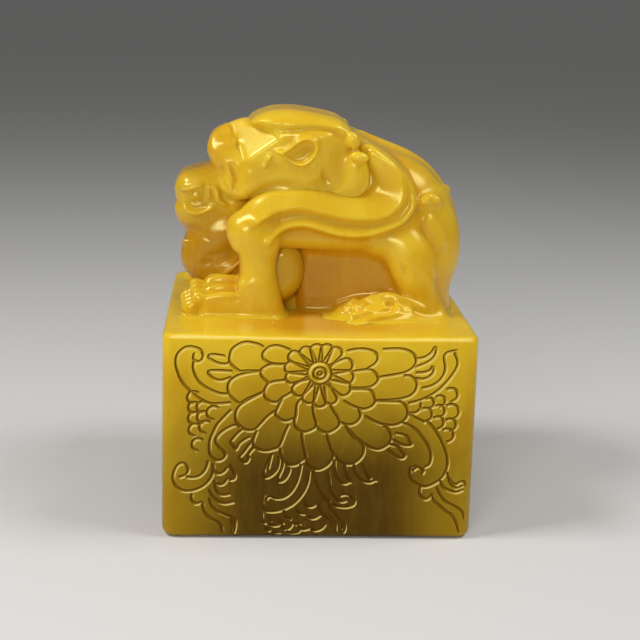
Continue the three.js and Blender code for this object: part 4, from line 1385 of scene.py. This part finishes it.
    berries = (
        (-23.9, 28.2, 1.2), (-23.8, 26.2, 1.1), (-23.7, 24.1, 1.2), (-23.6, 21.8, 1.2), (-22.2, 26.3, 1.1),
        (-22, 24.3, 1.2), (-21.6, 22.4, 1.2), (-20.1, 25.2, 1.3), (-23, 18.9, 1.2), (24.9, 29.3, 1.3),
        (22.8, 28, 1.1), (20.8, 27.6, 1), (25.1, 25.9, 1.5), (22.7, 26, 1.2), (20.2, 25.3, 1.3),
        (22.6, 23.7, 1.2), (25, 23.3, 1.2), (24.5, 21.2, 1.3),
    )

    def strokes(self) -> list:
        """Every stroke of the graver, as points a step apart.

        Returns:
            Arrays of x and z, one for each stroke.
        """
        paths = []
        cx, cz = self.centre
        for radius in self.rings:
            turn = np.linspace(0, 2 * math.pi, 25)
            paths.append(np.stack([cx + radius * np.cos(turn), cz + radius * np.sin(turn)], 1))
        for tip_x, tip_z, width in self.small_petals:
            paths.append(self.petal(np.array((tip_x, tip_z)), width))
        for group in (self.medium_petals, self.large_petals, self.left_scrolls, self.foot_scrolls,
                      self.florets, self.right_scrolls):
            paths += [smooth_path(np.array(points), 8) for points in group]
        for x, z, radius in self.berries:
            turn = np.linspace(*self.berry_arc, 14) * math.pi
            turn = turn if x > 0 else math.pi - turn
            paths.append(np.stack([x + radius * np.cos(turn), z + radius * np.sin(turn)], 1))
        return [self.evened(path, self.step) for path in paths]

    def petal(self, tip: np.ndarray, width: float) -> np.ndarray:
        """A rounded U from the middle circle: two straight sides and half an oval at the tip.

        Args:
            tip: its point furthest out.
            width: how wide it is.

        Returns:
            Its points.
        """
        centre = np.array(self.centre)
        ahead = (tip - centre) / np.linalg.norm(tip - centre)
        across = np.array((-ahead[1], ahead[0])) * width / 2
        root = centre + ahead * self.rings[0]
        shoulder = tip - ahead * width * self.petal_tip
        turn = np.linspace(0, math.pi, 9)[:, None]
        cap = shoulder + across * np.cos(turn) + ahead * (width * self.petal_tip) * np.sin(turn)
        return np.vstack([root + across * self.petal_root, cap, root - across * self.petal_root])

    @staticmethod
    def evened(path: np.ndarray, step: float) -> np.ndarray:
        """The path again, with its points the same distance apart.

        Args:
            path: rows of x and z.
            step: about how far apart.

        Returns:
            The new rows.
        """
        lengths = np.hypot(*np.diff(path, axis=0).T)
        along = np.concatenate([[0], np.cumsum(lengths)])
        count = max(int(round(along[-1] / step)), 2)
        new = np.linspace(0, along[-1], count + 1)
        return np.stack([np.interp(new, along, path[:, 0]), np.interp(new, along, path[:, 1])], 1)


@dataclass
class SealBlock:
    """The square block: rounded edges, a worn top, and the ornament cut into its front face."""

    half: float = 30.0
    height: float = BLOCK_TOP
    corner_radius: float = 2.6
    top_radius: float = 1.0
    foot_radius: float = 1.7
    groove_width: float = 0.8
    groove_depth: float = 0.4
    groove_rim: float = 0.09
    top_sag: float = 0.45
    piece: Piece = Piece("engraved_block", "block_stone", ("seal_block",))

    def rounded(self, points: np.ndarray) -> np.ndarray:
        """Moves points of a sharp block onto the rounded one.

        Near the top and the foot, the distances in from the wall and from the flat are carried from a square
        onto a quarter circle. Then in plan each corner square is carried onto a quarter disc.

        Args:
            points: rows of x, y, z on the sharp block's six faces.

        Returns:
            The rows on the rounded block.
        """
        x, y, z = points.T
        reach = np.maximum(np.abs(x), np.abs(y))
        inset = self.half - reach
        scale = np.ones_like(x)
        level = z.copy()
        for radius, depth, sign in ((self.top_radius, self.height - z, -1), (self.foot_radius, z, 1)):
            u, v = radius - inset, radius - depth
            close = (u > 0) & (v > 0)
            length = np.where(close, np.maximum(np.hypot(u, v), 1e-9), 1)
            pull = np.maximum(u, v) / length
            scale = np.where(close, (self.half - radius + u * pull) / reach.clip(1e-9), scale)
            base = self.height if sign < 0 else 0
            level = np.where(close, base + sign * (radius - v * pull), level)
        x, y = x * scale, y * scale
        straight = self.half - self.corner_radius
        dx, dy = x - np.clip(x, -straight, straight), y - np.clip(y, -straight, straight)
        length = np.hypot(dx, dy)
        corner = (np.abs(dx) > 0) & (np.abs(dy) > 0)
        pull = np.where(corner, np.maximum(np.abs(dx), np.abs(dy)) / np.maximum(length, 1e-9), 1)
        x, y = x - dx * (1 - pull), y - dy * (1 - pull)
        return np.stack([x, y, level], 1)

    def worn(self, points: np.ndarray) -> np.ndarray:
        """Hand polishing: the top dips at the middle of its front, and every face swells unevenly.

        Args:
            points: rows of x, y, z in millimetres.

        Returns:
            The worn rows.
        """
        x, y, z = points.T
        up = np.clip(z / self.height, 0, 1)
        front = np.clip((self.half - y) / (2 * self.half), 0, 1)
        sag = self.top_sag * np.cos(0.5 * math.pi * x / self.half) ** 2 * front**2 * up**6
        ripple = 0.06 * np.sin(0.42 * x + 0.9) * np.sin(0.37 * y + 0.3 * x + 1.7) * up**8
        swell = 0.05 * np.sin(0.13 * x + 0.11 * z + 0.6) * np.sin(0.17 * z + 0.4)
        side = np.clip((np.abs(y) - self.half + 4) / 4, 0, 1)
        y = y - np.sign(y) * (swell + 0.05) * side
        return np.stack([x, y, z - sag - np.maximum(ripple, -0.05) - 0.03 * up], 1)

    def lines(self, low: float, high: float, round_low: float, round_high: float,
              step: float) -> np.ndarray:
        """Grid lines across a face: close together in the rounded edges and even between them.

        Args:
            low: where the face starts.
            high: where it ends.
            round_low: the rounding's reach at its start.
            round_high: the same at its end.
            step: how far apart the lines are.

        Returns:
            The places of the lines.
        """
        count = max(int((high - low - round_low - round_high) / step), 1)
        first = low + round_low * (1 - np.cos(np.linspace(0, math.pi / 2, 7)[:-1]))
        last = high - round_high * (1 - np.cos(np.linspace(0, math.pi / 2, 7)[:-1]))[::-1]
        middle = np.linspace(low + round_low, high - round_high, count + 1)
        return np.concatenate([first, middle, last])

    def shell(self) -> tuple:
        """The five plain faces as grids of the sharp block.

        Returns:
            The points, the quads, and the grid lines across and up.
        """
        h = self.half
        across = self.lines(-h, h, self.corner_radius, self.corner_radius, 1.5)
        up = self.lines(0, self.height, self.foot_radius, self.top_radius, 1.5)
        points, quads, total = [], [], 0
        faces = (
            (across, up, lambda u, v: (-u, np.full_like(u, h), v)),
            (across, up, lambda u, v: (np.full_like(u, h), u, v)),
            (across, up, lambda u, v: (np.full_like(u, -h), -u, v)),
            (across, across, lambda u, v: (u, v, np.full_like(u, self.height))),
            (across, across, lambda u, v: (u, -v, np.zeros_like(u))),
        )
        for lines_u, lines_v, spot in faces:
            u, v = np.meshgrid(lines_u, lines_v, indexing="ij")
            points.append(np.stack([c.ravel() for c in spot(u, v)], 1))
            index = np.arange(u.size).reshape(u.shape) + total
            ring = (index[:-1, :-1], index[1:, :-1], index[1:, 1:], index[:-1, 1:])
            quads.append(np.stack(ring, -1).reshape(-1, 4))
            total += u.size
        return np.vstack(points), np.vstack(quads), across, up

    def stroke_rows(self, strokes: list, total: int) -> tuple:
        """Rows of points along every stroke: in its middle, on its walls, at its rims and just outside them.

        Args:
            strokes: each an array of x and z.
            total: how many points come before them.

        Returns:
            The rows, and the edges along them as pairs of the points' numbers.
        """
        half = self.groove_width / 2
        rim = half + self.groove_rim
        rows, edges = [], []
        for path in strokes:
            tangent = np.gradient(path, axis=0)
            tangent /= np.maximum(np.hypot(*tangent.T), 1e-9)[:, None]
            if np.hypot(*(path[0] - path[-1])) > half:
                path = np.vstack([path[0] - tangent[0] * rim, path, path[-1] + tangent[-1] * rim])
                tangent = np.vstack([tangent[0], tangent, tangent[-1]])
            normal = np.stack([-tangent[:, 1], tangent[:, 0]], 1)
            for offset in (-rim, -half, -0.55 * half, 0, 0.55 * half, half, rim):
                row = path + normal * offset
                across, up = row.T
                row = row[(np.abs(across) < self.half - 0.2) & (up > 0.3) & (up < self.height - 0.3)]
                if len(row) < 2:
                    continue
                rows.append(row)
                index = np.arange(total, total + len(row))
                edges.append(np.stack([index[:-1], index[1:]], 1))
                total += len(row)
        return rows, edges

    def front(self, across: np.ndarray, up: np.ndarray) -> tuple:
        """The front face, laid out in x and z with rows of points along every stroke, and cut in triangles.

        Args:
            across: where the neighbouring faces' grid lines meet its top and foot.
            up: where they meet its left and right.

        Returns:
            The points' x and z, the triangles, how deep the groove is at each point, and how far each point
            lies towards its groove's lower (+) or upper (-) rim, which sets the painted highlight and shade
            on its walls.
        """
        h, top, half = self.half, self.height, self.groove_width / 2
        strokes = Ornament().strokes()
        wide, tall = len(across) - 1, len(up) - 1
        border = np.vstack([
            np.stack([across[:-1], np.zeros(wide)], 1), np.stack([np.full(tall, h), up[:-1]], 1),
            np.stack([across[:0:-1], np.full(wide, top)], 1), np.stack([np.full(tall, -h), up[:0:-1]], 1)])
        ring = np.arange(len(border))
        rows, edges = self.stroke_rows(strokes, len(border))
        inner = (up > 0.05) & (up < top - 0.05)
        u, v = np.meshgrid(across[1:-1], up[inner], indexing="ij")
        loose = np.stack([u.ravel(), v.ravel()], 1)
        gap, _ = self.stroke_gap(loose, strokes)
        points = np.vstack([border, *rows, loose[gap > half + 0.3]])
        edges = np.vstack([np.stack([ring, np.roll(ring, -1)], 1), *edges])
        corners = [Vector(p) for p in points.tolist()]
        found = delaunay_2d_cdt(corners, edges.tolist(), [], 0, 1e-4)
        flat = np.array([tuple(p) for p in found[0]])
        faces = np.array([f for f in found[2] if len(f) == 3])
        gap, under = self.stroke_gap(flat, strokes)
        depth = self.groove_depth * self.profile(gap / half)
        return flat, faces, depth, np.where(gap < half + 0.04, np.clip(under / half, -1, 1), 0)

    @staticmethod
    def profile(share: np.ndarray) -> np.ndarray:
        """The groove's depth from its middle, at 0, to its rim, at 1: a V with a rounded bottom."""
        return np.clip(1 - share**1.6, 0, 1)

    @staticmethod
    def stroke_gap(points: np.ndarray, strokes: list) -> tuple:
        """The distance from each point to the nearest stroke, and how far it lies below and right of it.

        Args:
            points: rows of x and z.
            strokes: each an array of x and z.

        Returns:
            Both as arrays, one number for each point.
        """
        starts = np.vstack([s[:-1] for s in strokes]).astype(np.float32)
        ends = np.vstack([s[1:] for s in strokes]).astype(np.float32)
        near = np.full(len(points), BEYOND, np.float32)
        under = np.zeros(len(points), np.float32)
        spots = points.astype(np.float32)
        order = np.argsort(spots[:, 0])
        for chunk in np.array_split(order, max(len(order) // 400, 1)):
            p = spots[chunk]
            low, high = p.min(0) - 2, p.max(0) + 2
            close = (np.maximum(starts, ends) > low).all(1) & (np.minimum(starts, ends) < high).all(1)
            a, d = starts[close], (ends - starts)[close]
            if not len(a):
                continue
            rel = p[:, None] - a[None]
            t = np.clip((rel * d).sum(2) / np.maximum((d * d).sum(1), 1e-9), 0, 1)
            away = rel - t[..., None] * d
            gaps = np.hypot(away[..., 0], away[..., 1])
            best = gaps.argmin(1)
            row = np.arange(len(best))
            near[chunk] = gaps[row, best]
            # Below and right of the stroke is the side that faces the light: its wall takes a painted
            # highlight, the other painted shade.
            under[chunk] = 0.6 * away[row, best, 0] - 0.8 * away[row, best, 1]
        return near, under

    def build(self, material: bpy.types.Material) -> bpy.types.Object:
        """Joins the front to the other faces, rounds and wears the block, and sinks the grooves.

        Args:
            material: the finish.

        Returns:
            The object.
        """
        shell, quads, across, up = self.shell()
        flat, triangles, depth, under = self.front(across, up)
        sharp = np.vstack([shell, np.stack([flat[:, 0], np.full(len(flat), -self.half), flat[:, 1]], 1)])
        depth = np.concatenate([np.zeros(len(shell)), depth])
        under = np.concatenate([np.zeros(len(shell)), under])
        points = self.worn(self.rounded(sharp))
        points[:, 1] += depth
        keys = np.round(sharp * 1000).astype(np.int64)
        _, first, same = np.unique(keys, axis=0, return_index=True, return_inverse=True)
        same = same.ravel()
        merged = points[first]
        triangles = same[triangles + len(shell)]
        # The wall number sets the painted highlight and painted shade on the grooves' walls.
        return self.piece.place(merged, [same[quads], triangles], material,
                                {"groove": depth[first] / self.groove_depth, "wall": under[first]})


# Finishes


class Graph:
    """A short way to place and link shader nodes."""

    def __init__(self, tree: bpy.types.NodeTree) -> None:
        """Works on one node tree."""
        self.tree = tree

    def node(self, kind: str, settings: dict | None = None, **inputs: object) -> bpy.types.Node:
        """A node with its settings, and its inputs given as numbers, colours or other nodes' outputs.

        Args:
            kind: the node's type.
            settings: attributes of the node itself.
            inputs: input names, with spaces as underscores, or i0, i1 ... for places in the list.

        Returns:
            The node.
        """
        node = self.tree.nodes.new(kind)
        for name, value in (settings or {}).items():
            setattr(node, name, value)
        for name, value in inputs.items():
            place = int(name[1:]) if name[0] == "i" and name[1:].isdigit() else name.replace("_", " ")
            if isinstance(value, bpy.types.NodeSocket):
                self.tree.links.new(value, node.inputs[place])
            else:
                node.inputs[place].default_value = value
        return node

    def math(self, operation: str, *values: object) -> bpy.types.NodeSocket:
        """The result of a Math node."""
        inputs = {f"i{i}": v for i, v in enumerate(values)}
        return self.node("ShaderNodeMath", {"operation": operation}, **inputs).outputs[0]

    def times(self, *values: object) -> bpy.types.NodeSocket:
        """The product of several values."""
        return functools.reduce(lambda one, two: self.math("MULTIPLY", one, two), values)

    def attribute(self, name: str) -> bpy.types.NodeSocket:
        """One of the mesh's own numbers."""
        return self.node("ShaderNodeAttribute", {"attribute_name": name}).outputs["Fac"]

    def between(self, value: bpy.types.NodeSocket, low: float, high: float) -> bpy.types.NodeSocket:
        """A smooth step from 0 to 1.

        Args:
            value: what is looked at.
            low: where the step starts.
            high: where it ends.

        Returns:
            The result.
        """
        settings = {"interpolation_type": "SMOOTHSTEP"}
        return self.node("ShaderNodeMapRange", settings, i0=value, i1=low, i2=high, i3=0.0,
                         i4=1.0).outputs[0]

    def region(self, parts: object, ramps: tuple) -> bpy.types.NodeSocket:
        """How far a place is inside a region: the product of its ramps along the axes.

        Args:
            parts: the place as its separate X, Y and Z.
            ramps: rows of an axis, the place on it where the region starts, and the place where it is full.

        Returns:
            0 outside and 1 well inside.
        """
        return self.times(*(self.between(parts[axis], start, full) for axis, start, full in ramps))

    def mix(self, share: object, one: object, two: object) -> bpy.types.NodeSocket:
        """One colour turning to another."""
        return self.node("ShaderNodeMix", {"data_type": "RGBA"}, i0=share, i6=one, i7=two).outputs[2]


def colour(red: int, green: int, blue: int) -> tuple:
    """A display colour, 0 to 255, as the linear colour that the shader takes."""
    shares = (red / 255, green / 255, blue / 255)
    return (*(c / 12.92 if c <= 0.04045 else ((c + 0.055) / 1.055) ** 2.4 for c in shares), 1.0)


def stone_figure() -> bpy.types.NodeTree:
    """The figure of the stone, shared by its finishes: clouds, upright veins, fine strands and specks.

    Returns:
        The node group.
    """
    group = bpy.data.node_groups.new("stone_figure", "ShaderNodeTree")
    group.interface.new_socket("Place", in_out="INPUT", socket_type="NodeSocketVector")
    group.interface.new_socket("Cloud Scale", in_out="INPUT", socket_type="NodeSocketFloat")
    for name in ("Cloud", "Vein", "Strand", "Speck"):
        group.interface.new_socket(name, in_out="OUTPUT", socket_type="NodeSocketFloat")
    g = Graph(group)
    given = g.node("NodeGroupInput")
    place = given.outputs["Place"]

    def noise(at: object, scale: object, detail: float, rough: float, distortion: float = 0.0) -> object:
        """One noise at a place."""
        return g.node("ShaderNodeTexNoise", Vector=at, Scale=scale, Detail=detail, Roughness=rough,
                      Distortion=distortion).outputs["Fac"]

    cloud = noise(place, given.outputs["Cloud Scale"], 3.0, 0.5, 0.6)
    upright = g.node("ShaderNodeMapping", Vector=place, Scale=(1.0, 1.0, 0.22)).outputs[0]
    vein = noise(upright, 260.0, 4.0, 0.55, 1.1)
    ridge = g.math("ABSOLUTE", g.math("SUBTRACT", vein, 0.5))
    figures = {
        "Cloud": g.between(cloud, 0.36, 0.66),
        "Vein": g.between(ridge, 0.055, 0.0),
        "Strand": g.between(noise(upright, 900.0, 3.0, 0.6, 0.4), 0.4, 0.7),
        "Speck": g.between(noise(place, 2600.0, 2.0, 0.6), 0.62, 0.78),
    }
    end = g.node("NodeGroupOutput")
    for name, socket in figures.items():
        group.links.new(socket, end.inputs[name])
    return group


@dataclass(frozen=True, kw_only=True)
class StoneFinish:
    """A polished, wax-like stone.

    Pale, body, deep and vein are its colours, and the shares tell how strongly veins and strands show; pale
    also serves as painted light, and deep and vein as painted shade. Cloud scale is about how many clouds
    there are to a metre. Glow is the share of light that passes under the skin, depth how far it goes in
    metres, and spread how far red, green and blue go as shares of that. Shine is the level of the reflections
    and tint their colour. Relief is the height of the skin's waves in metres, and the heights of strands and
    clouds are shares of it.
    """

    name: str
    pale: tuple
    body: tuple
    deep: tuple
    vein: tuple
    vein_share: float
    strand_height: float
    cloud_height: float
    strand_share: float = 0.12
    cloud_scale: float = 110.0
    roughness: float = 0.205
    glow: float = 0.35
    depth: float = 0.0025
    spread: tuple = (1.0, 0.52, 0.09)
    shine: float = 0.6
    tint: tuple = (0.92, 0.94, 0.42, 1.0)
    refraction: float = 1.54
    relief: float = 0.00006

    def layers(self, g: Graph, place: object, figure: object) -> tuple:
        """What is laid over the body's colour, each a share and a colour."""
        raise NotImplementedError

    def material(self, group: bpy.types.NodeTree) -> bpy.types.Material:
        """The material: the body's colour under its layers, and the polished skin.

        Args:
            group: the stone's figure.

        Returns:
            The material.
        """
        material = bpy.data.materials.new(self.name)
        material.use_nodes = True
        material.node_tree.nodes.clear()
        g = Graph(material.node_tree)
        spot = g.node("ShaderNodeTexCoord").outputs["Object"]
        figure = g.node("ShaderNodeGroup", {"node_tree": group}, Place=spot, Cloud_Scale=self.cloud_scale)
        place = g.node("ShaderNodeSeparateXYZ", Vector=spot)
        base = self.body
        for share, tone in self.layers(g, place.outputs, figure.outputs):
            base = g.mix(share, base, tone)
        self.skin(g, base, figure.outputs)
        return material

    def skin(self, g: Graph, base: bpy.types.NodeSocket, figure: object) -> None:
        """The shader: polished, lit from inside, with the faint pits and waves that the cloth leaves.

        Args:
            g: the material's nodes.
            base: its colour.
            figure: the figure's outputs.
        """
        height = g.times(figure["Speck"], -0.35)
        for name, share in (("Strand", self.strand_height), ("Cloud", self.cloud_height)):
            height = g.math("ADD", height, g.times(figure[name], share))
        normal = g.node("ShaderNodeBump", Strength=0.35, Distance=self.relief, Height=height).outputs[0]
        rough = g.math("ADD", g.times(figure["Cloud"], 0.05), self.roughness)
        rough = g.math("ADD", rough, g.times(figure["Speck"], 0.12))
        shader = g.node("ShaderNodeBsdfPrincipled", Base_Color=base, Roughness=rough, Normal=normal,
                        IOR=self.refraction, Subsurface_Weight=self.glow, Subsurface_Radius=self.spread,
                        Subsurface_Scale=self.depth, Specular_IOR_Level=self.shine,
                        Specular_Tint=self.tint)
        end = g.node("ShaderNodeOutputMaterial")
        g.tree.links.new(shader.outputs[0], end.inputs[0])


@dataclass(frozen=True, kw_only=True)
class BeastFinish(StoneFinish):
    """The finish of a carved beast: painted shade, more orange, in its hollows and where it is thick, and
    painted light, paler, on its crests.

    Shaded is the region low on it that takes painted shade. Muzzle is the region of the mother's muzzle and
    the cub's crown that takes painted shade, more orange, and brow that of the flat over her eyes, which
    takes a painted highlight, paler. They are in metres.
    """

    strand_height: float = 0.25
    cloud_height: float = 0.5
    shaded: tuple
    muzzle: tuple = (("X", -0.0165, -0.0205), ("Z", 0.0660, 0.0690))
    brow: tuple = (("X", -0.0180, -0.0155), ("X", -0.0060, -0.0085), ("Z", 0.0700, 0.0715),
                   ("Z", 0.0790, 0.0775))

    def layers(self, g: Graph, place: object, figure: object) -> tuple:
        """The clouds, the painted light and shade of the crests, hollows and regions, then veins and strands.

        Args:
            g: the material's nodes.
            place: the X, Y and Z on the stone.
            figure: the figure's outputs.

        Returns:
            Rows of a share and a colour, the undermost first.
        """
        hollow, bulk = g.attribute("hollow"), g.attribute("bulk")
        return (
            (g.times(figure["Cloud"], 0.55), self.pale),
            # Painted light: paler on thin crests. Painted shade: more orange where the stone is thick and in
            # its hollows.
            (g.between(hollow, -0.35, -1.3), self.pale),
            (g.times(g.between(bulk, -1.2, 1.2), 0.65), self.deep),
            (g.times(g.between(hollow, -0.05, 0.8), 0.65), self.deep),
            # Painted shade low on the beast, between her legs and on the cub's chest and forelegs.
            (g.times(g.region(place, self.shaded), 0.8), self.vein),
            # Painted shade, more orange, on the mother's muzzle and the cub's crown.
            (g.times(g.region(place, self.muzzle), 0.38), self.vein),
            # Painted highlight, paler, on the flat of her brow.
            (g.times(g.region(place, self.brow), 0.85), self.pale),
            (g.times(figure["Vein"], self.vein_share), self.vein),
            (g.times(figure["Strand"], self.strand_share), self.pale),
        )


@dataclass(frozen=True, kw_only=True)
class BlockFinish(StoneFinish):
    """The finish of the block: painted light at its top and sides, and painted shade low in its middle.

    Shade is the colour of the painted shade low in the middle, and glint that of the painted highlights on
    the front rim and on the grooves' lower walls. Around_knob is the region of the top, away from its front
    and its sides, that takes painted shadow, more orange, in metres.
    """

    strand_height: float = 0.2
    cloud_height: float = 0.6
    shade: tuple
    glint: tuple
    # Painted shadow on the top round the knob's foot.
    around_knob: tuple = (("X", -0.0290, -0.0060), ("X", 0.0290, 0.0060), ("Y", -0.0300, -0.0210),
                          ("Z", 0.0388, 0.0398))

    def layers(self, g: Graph, place: object, figure: object) -> tuple:
        """The clouds, painted light on the top and painted shade at the foot, a painted highlight on the rim,
        veins and strands, then painted light and shade on the walls of the grooves.

        Args:
            g: the material's nodes.
            place: the X, Y and Z on the stone.
            figure: the figure's outputs.

        Returns:
            Rows of a share and a colour, the undermost first.
        """
        x, y = g.math("ABSOLUTE", place["X"]), g.math("ABSOLUTE", place["Y"])
        groove, wall = g.attribute("groove"), g.attribute("wall")
        # Painted shade: darker low in the middle of each face, less so towards its sides.
        inward = g.math("MULTIPLY_ADD", g.between(g.math("MINIMUM", x, y), 0.0305, 0.012), 0.5, 0.5)
        return (
            (g.times(figure["Cloud"], 0.5), self.pale),
            # Painted light on the upper part of the block.
            (g.times(g.between(place["Z"], 0.0300, 0.0400), 0.6), self.pale),
            (g.times(g.between(place["Z"], 0.0390, 0.0120), inward), self.shade),
            # Painted shadow on the top round the knob's foot.
            (g.times(g.region(place, self.around_knob), 0.6), self.vein),
            # Painted highlight along the top front edge.
            (g.times(g.between(place["Z"], 0.0395, 0.0399), g.between(y, 0.0293, 0.0297), 0.8), self.glint),
            (g.times(figure["Vein"], self.vein_share), self.vein),
            (g.times(figure["Strand"], self.strand_share), self.pale),
            # Painted shade in the bottoms and the upper walls of the grooves, and a painted highlight on
            # their lower walls.
            (g.times(g.between(groove, 0.02, 0.4), g.between(wall, 0.25, -0.2)), self.deep),
            (g.times(g.between(wall, 0.3, 0.6), 0.8), self.glint),
        )


# The beasts' pale, deep and vein colours also carry their painted light and shade; shaded is each one's
# region of painted shade.
MOTHER_FINISH = BeastFinish(
    name="mother_stone", pale=colour(238, 204, 52), body=colour(228, 184, 36), deep=colour(212, 146, 16),
    vein=colour(192, 122, 4), vein_share=0.08,
    shaded=(("X", -0.0120, -0.0090), ("X", 0.0230, 0.0180), ("Y", -0.0130, -0.0075), ("Y", 0.0170, 0.0115),
            ("Z", 0.0565, 0.0495)))
CUB_FINISH = BeastFinish(
    name="cub_stone", pale=colour(228, 192, 44), body=colour(212, 170, 32), deep=colour(196, 130, 14),
    vein=colour(182, 124, 10), vein_share=0.1, shaded=(("X", -0.0110, -0.0150), ("Z", 0.0615, 0.0555)))
# The block's shade is its painted shade low in the middle, and glint its painted highlight on the front rim
# and the grooves' lower walls.
BLOCK_FINISH = BlockFinish(
    name="block_stone", pale=colour(240, 204, 48), body=colour(214, 168, 26), deep=colour(104, 64, 4),
    vein=colour(190, 112, 12), vein_share=0.04, strand_share=0.03, cloud_scale=70.0, shine=0.18,
    shade=colour(84, 56, 2), glint=colour(252, 226, 124))


# The studio


@dataclass(frozen=True)
class Studio:
    """Pale floor, soft boxes and the camera of the photograph; lengths in millimetres, angles in degrees."""

    camera_place: tuple = (-16.118, -288.056, 104.946)
    azimuth: float = -3.46
    elevation: float = 13.35
    roll: float = 1.59
    lens: float = 79.95
    surround: float = 0.13
    floor_reach: float = 30000.0
    floor_level: float = -0.05

    def camera(self) -> None:
        """Places the camera as it was fitted to the block's corners."""
        az, el, roll = (math.radians(v) for v in (self.azimuth, self.elevation, self.roll))
        back = Vector((math.sin(az) * math.cos(el), -math.cos(az) * math.cos(el), math.sin(el)))
        right = Vector((math.cos(az), math.sin(az), 0))
        up = back.cross(right)
        across = right * math.cos(roll) + up * math.sin(roll)
        above = up * math.cos(roll) - right * math.sin(roll)
        data = bpy.data.cameras.new("camera")
        data.lens = self.lens
        data.sensor_width = 36
        data.clip_start = 0.01
        camera = bpy.data.objects.new("camera", data)
        turn = Matrix((across, above, back)).transposed().to_4x4()
        camera.matrix_world = Matrix.Translation(Vector(self.camera_place) * MM) @ turn
        bpy.context.scene.collection.objects.link(camera)
        bpy.context.scene.camera = camera

    def box(self, name: str, place: tuple, aim: tuple, size: tuple, power: float) -> None:
        """A soft box: a white rectangle of light, turned to a point.

        Args:
            name: its name.
            place: where it is.
            aim: the point that it faces.
            size: its width and height.
            power: its power in watts.
        """
        data = bpy.data.lights.new(name, "AREA")
        data.shape = "RECTANGLE"
        data.size, data.size_y = size[0] * MM, size[1] * MM
        data.energy = power
        light = bpy.data.objects.new(name, data)
        turn = (Vector(aim) - Vector(place)).to_track_quat("-Z", "Y")
        light.matrix_world = Matrix.Translation(Vector(place) * MM) @ turn.to_matrix().to_4x4()
        bpy.context.scene.collection.objects.link(light)

    def lights(self) -> None:
        """One box to the upper left, one to the upper right, one in front, and an even dim surround."""
        self.box("upper_left_box", (-270, -90, 370), (-5, -5, 60), (150, 120), 0.96)
        self.box("upper_right_box", (260, -60, 380), (5, -5, 60), (220, 200), 0.8)
        self.box("front_box", (-107, -401, 171), (0, 0, 50), (140, 84), 0.52)
        world = bpy.data.worlds.new("surround")
        bpy.context.scene.world = world
        world.use_nodes = True
        background = world.node_tree.nodes["Background"]
        background.inputs["Color"].default_value = (1, 1, 1, 1)
        background.inputs["Strength"].default_value = self.surround

    def floor(self) -> None:
        """A plain pale floor, so wide that its edge isn't seen."""
        mesh = bpy.data.meshes.new("floor")
        reach, level = self.floor_reach * MM, self.floor_level * MM
        corners = [(x * reach, y * reach, level) for x, y in ((-1, -1), (1, -1), (1, 1), (-1, 1))]
        mesh.from_pydata(corners, [], [(0, 1, 2, 3)])
        material = bpy.data.materials.new("floor")
        material.use_nodes = True
        shader = material.node_tree.nodes["Principled BSDF"]
        shader.inputs["Base Color"].default_value = (0.80, 0.79, 0.77, 1)
        shader.inputs["Roughness"].default_value = 0.6
        mesh.materials.append(material)
        floor = bpy.data.objects.new("floor", mesh)
        bpy.context.scene.collection.objects.link(floor)


def main() -> None:
    """Builds the block, the beasts and the studio in order."""
    logging.basicConfig(level=logging.INFO, format="%(message)s")
    studio = Studio()
    studio.camera()
    studio.lights()
    studio.floor()
    figure = stone_figure()
    mother = MOTHER_FINISH.material(figure)
    cub = CUB_FINISH.material(figure)
    SealBlock().build(BLOCK_FINISH.material(figure))
    MotherBody().build(mother)
    MotherHead().build(mother)
    Cub().build(cub)
    scene = bpy.context.scene
    scene.view_settings.view_transform = "Standard"


if __name__ == "__main__":
    main()
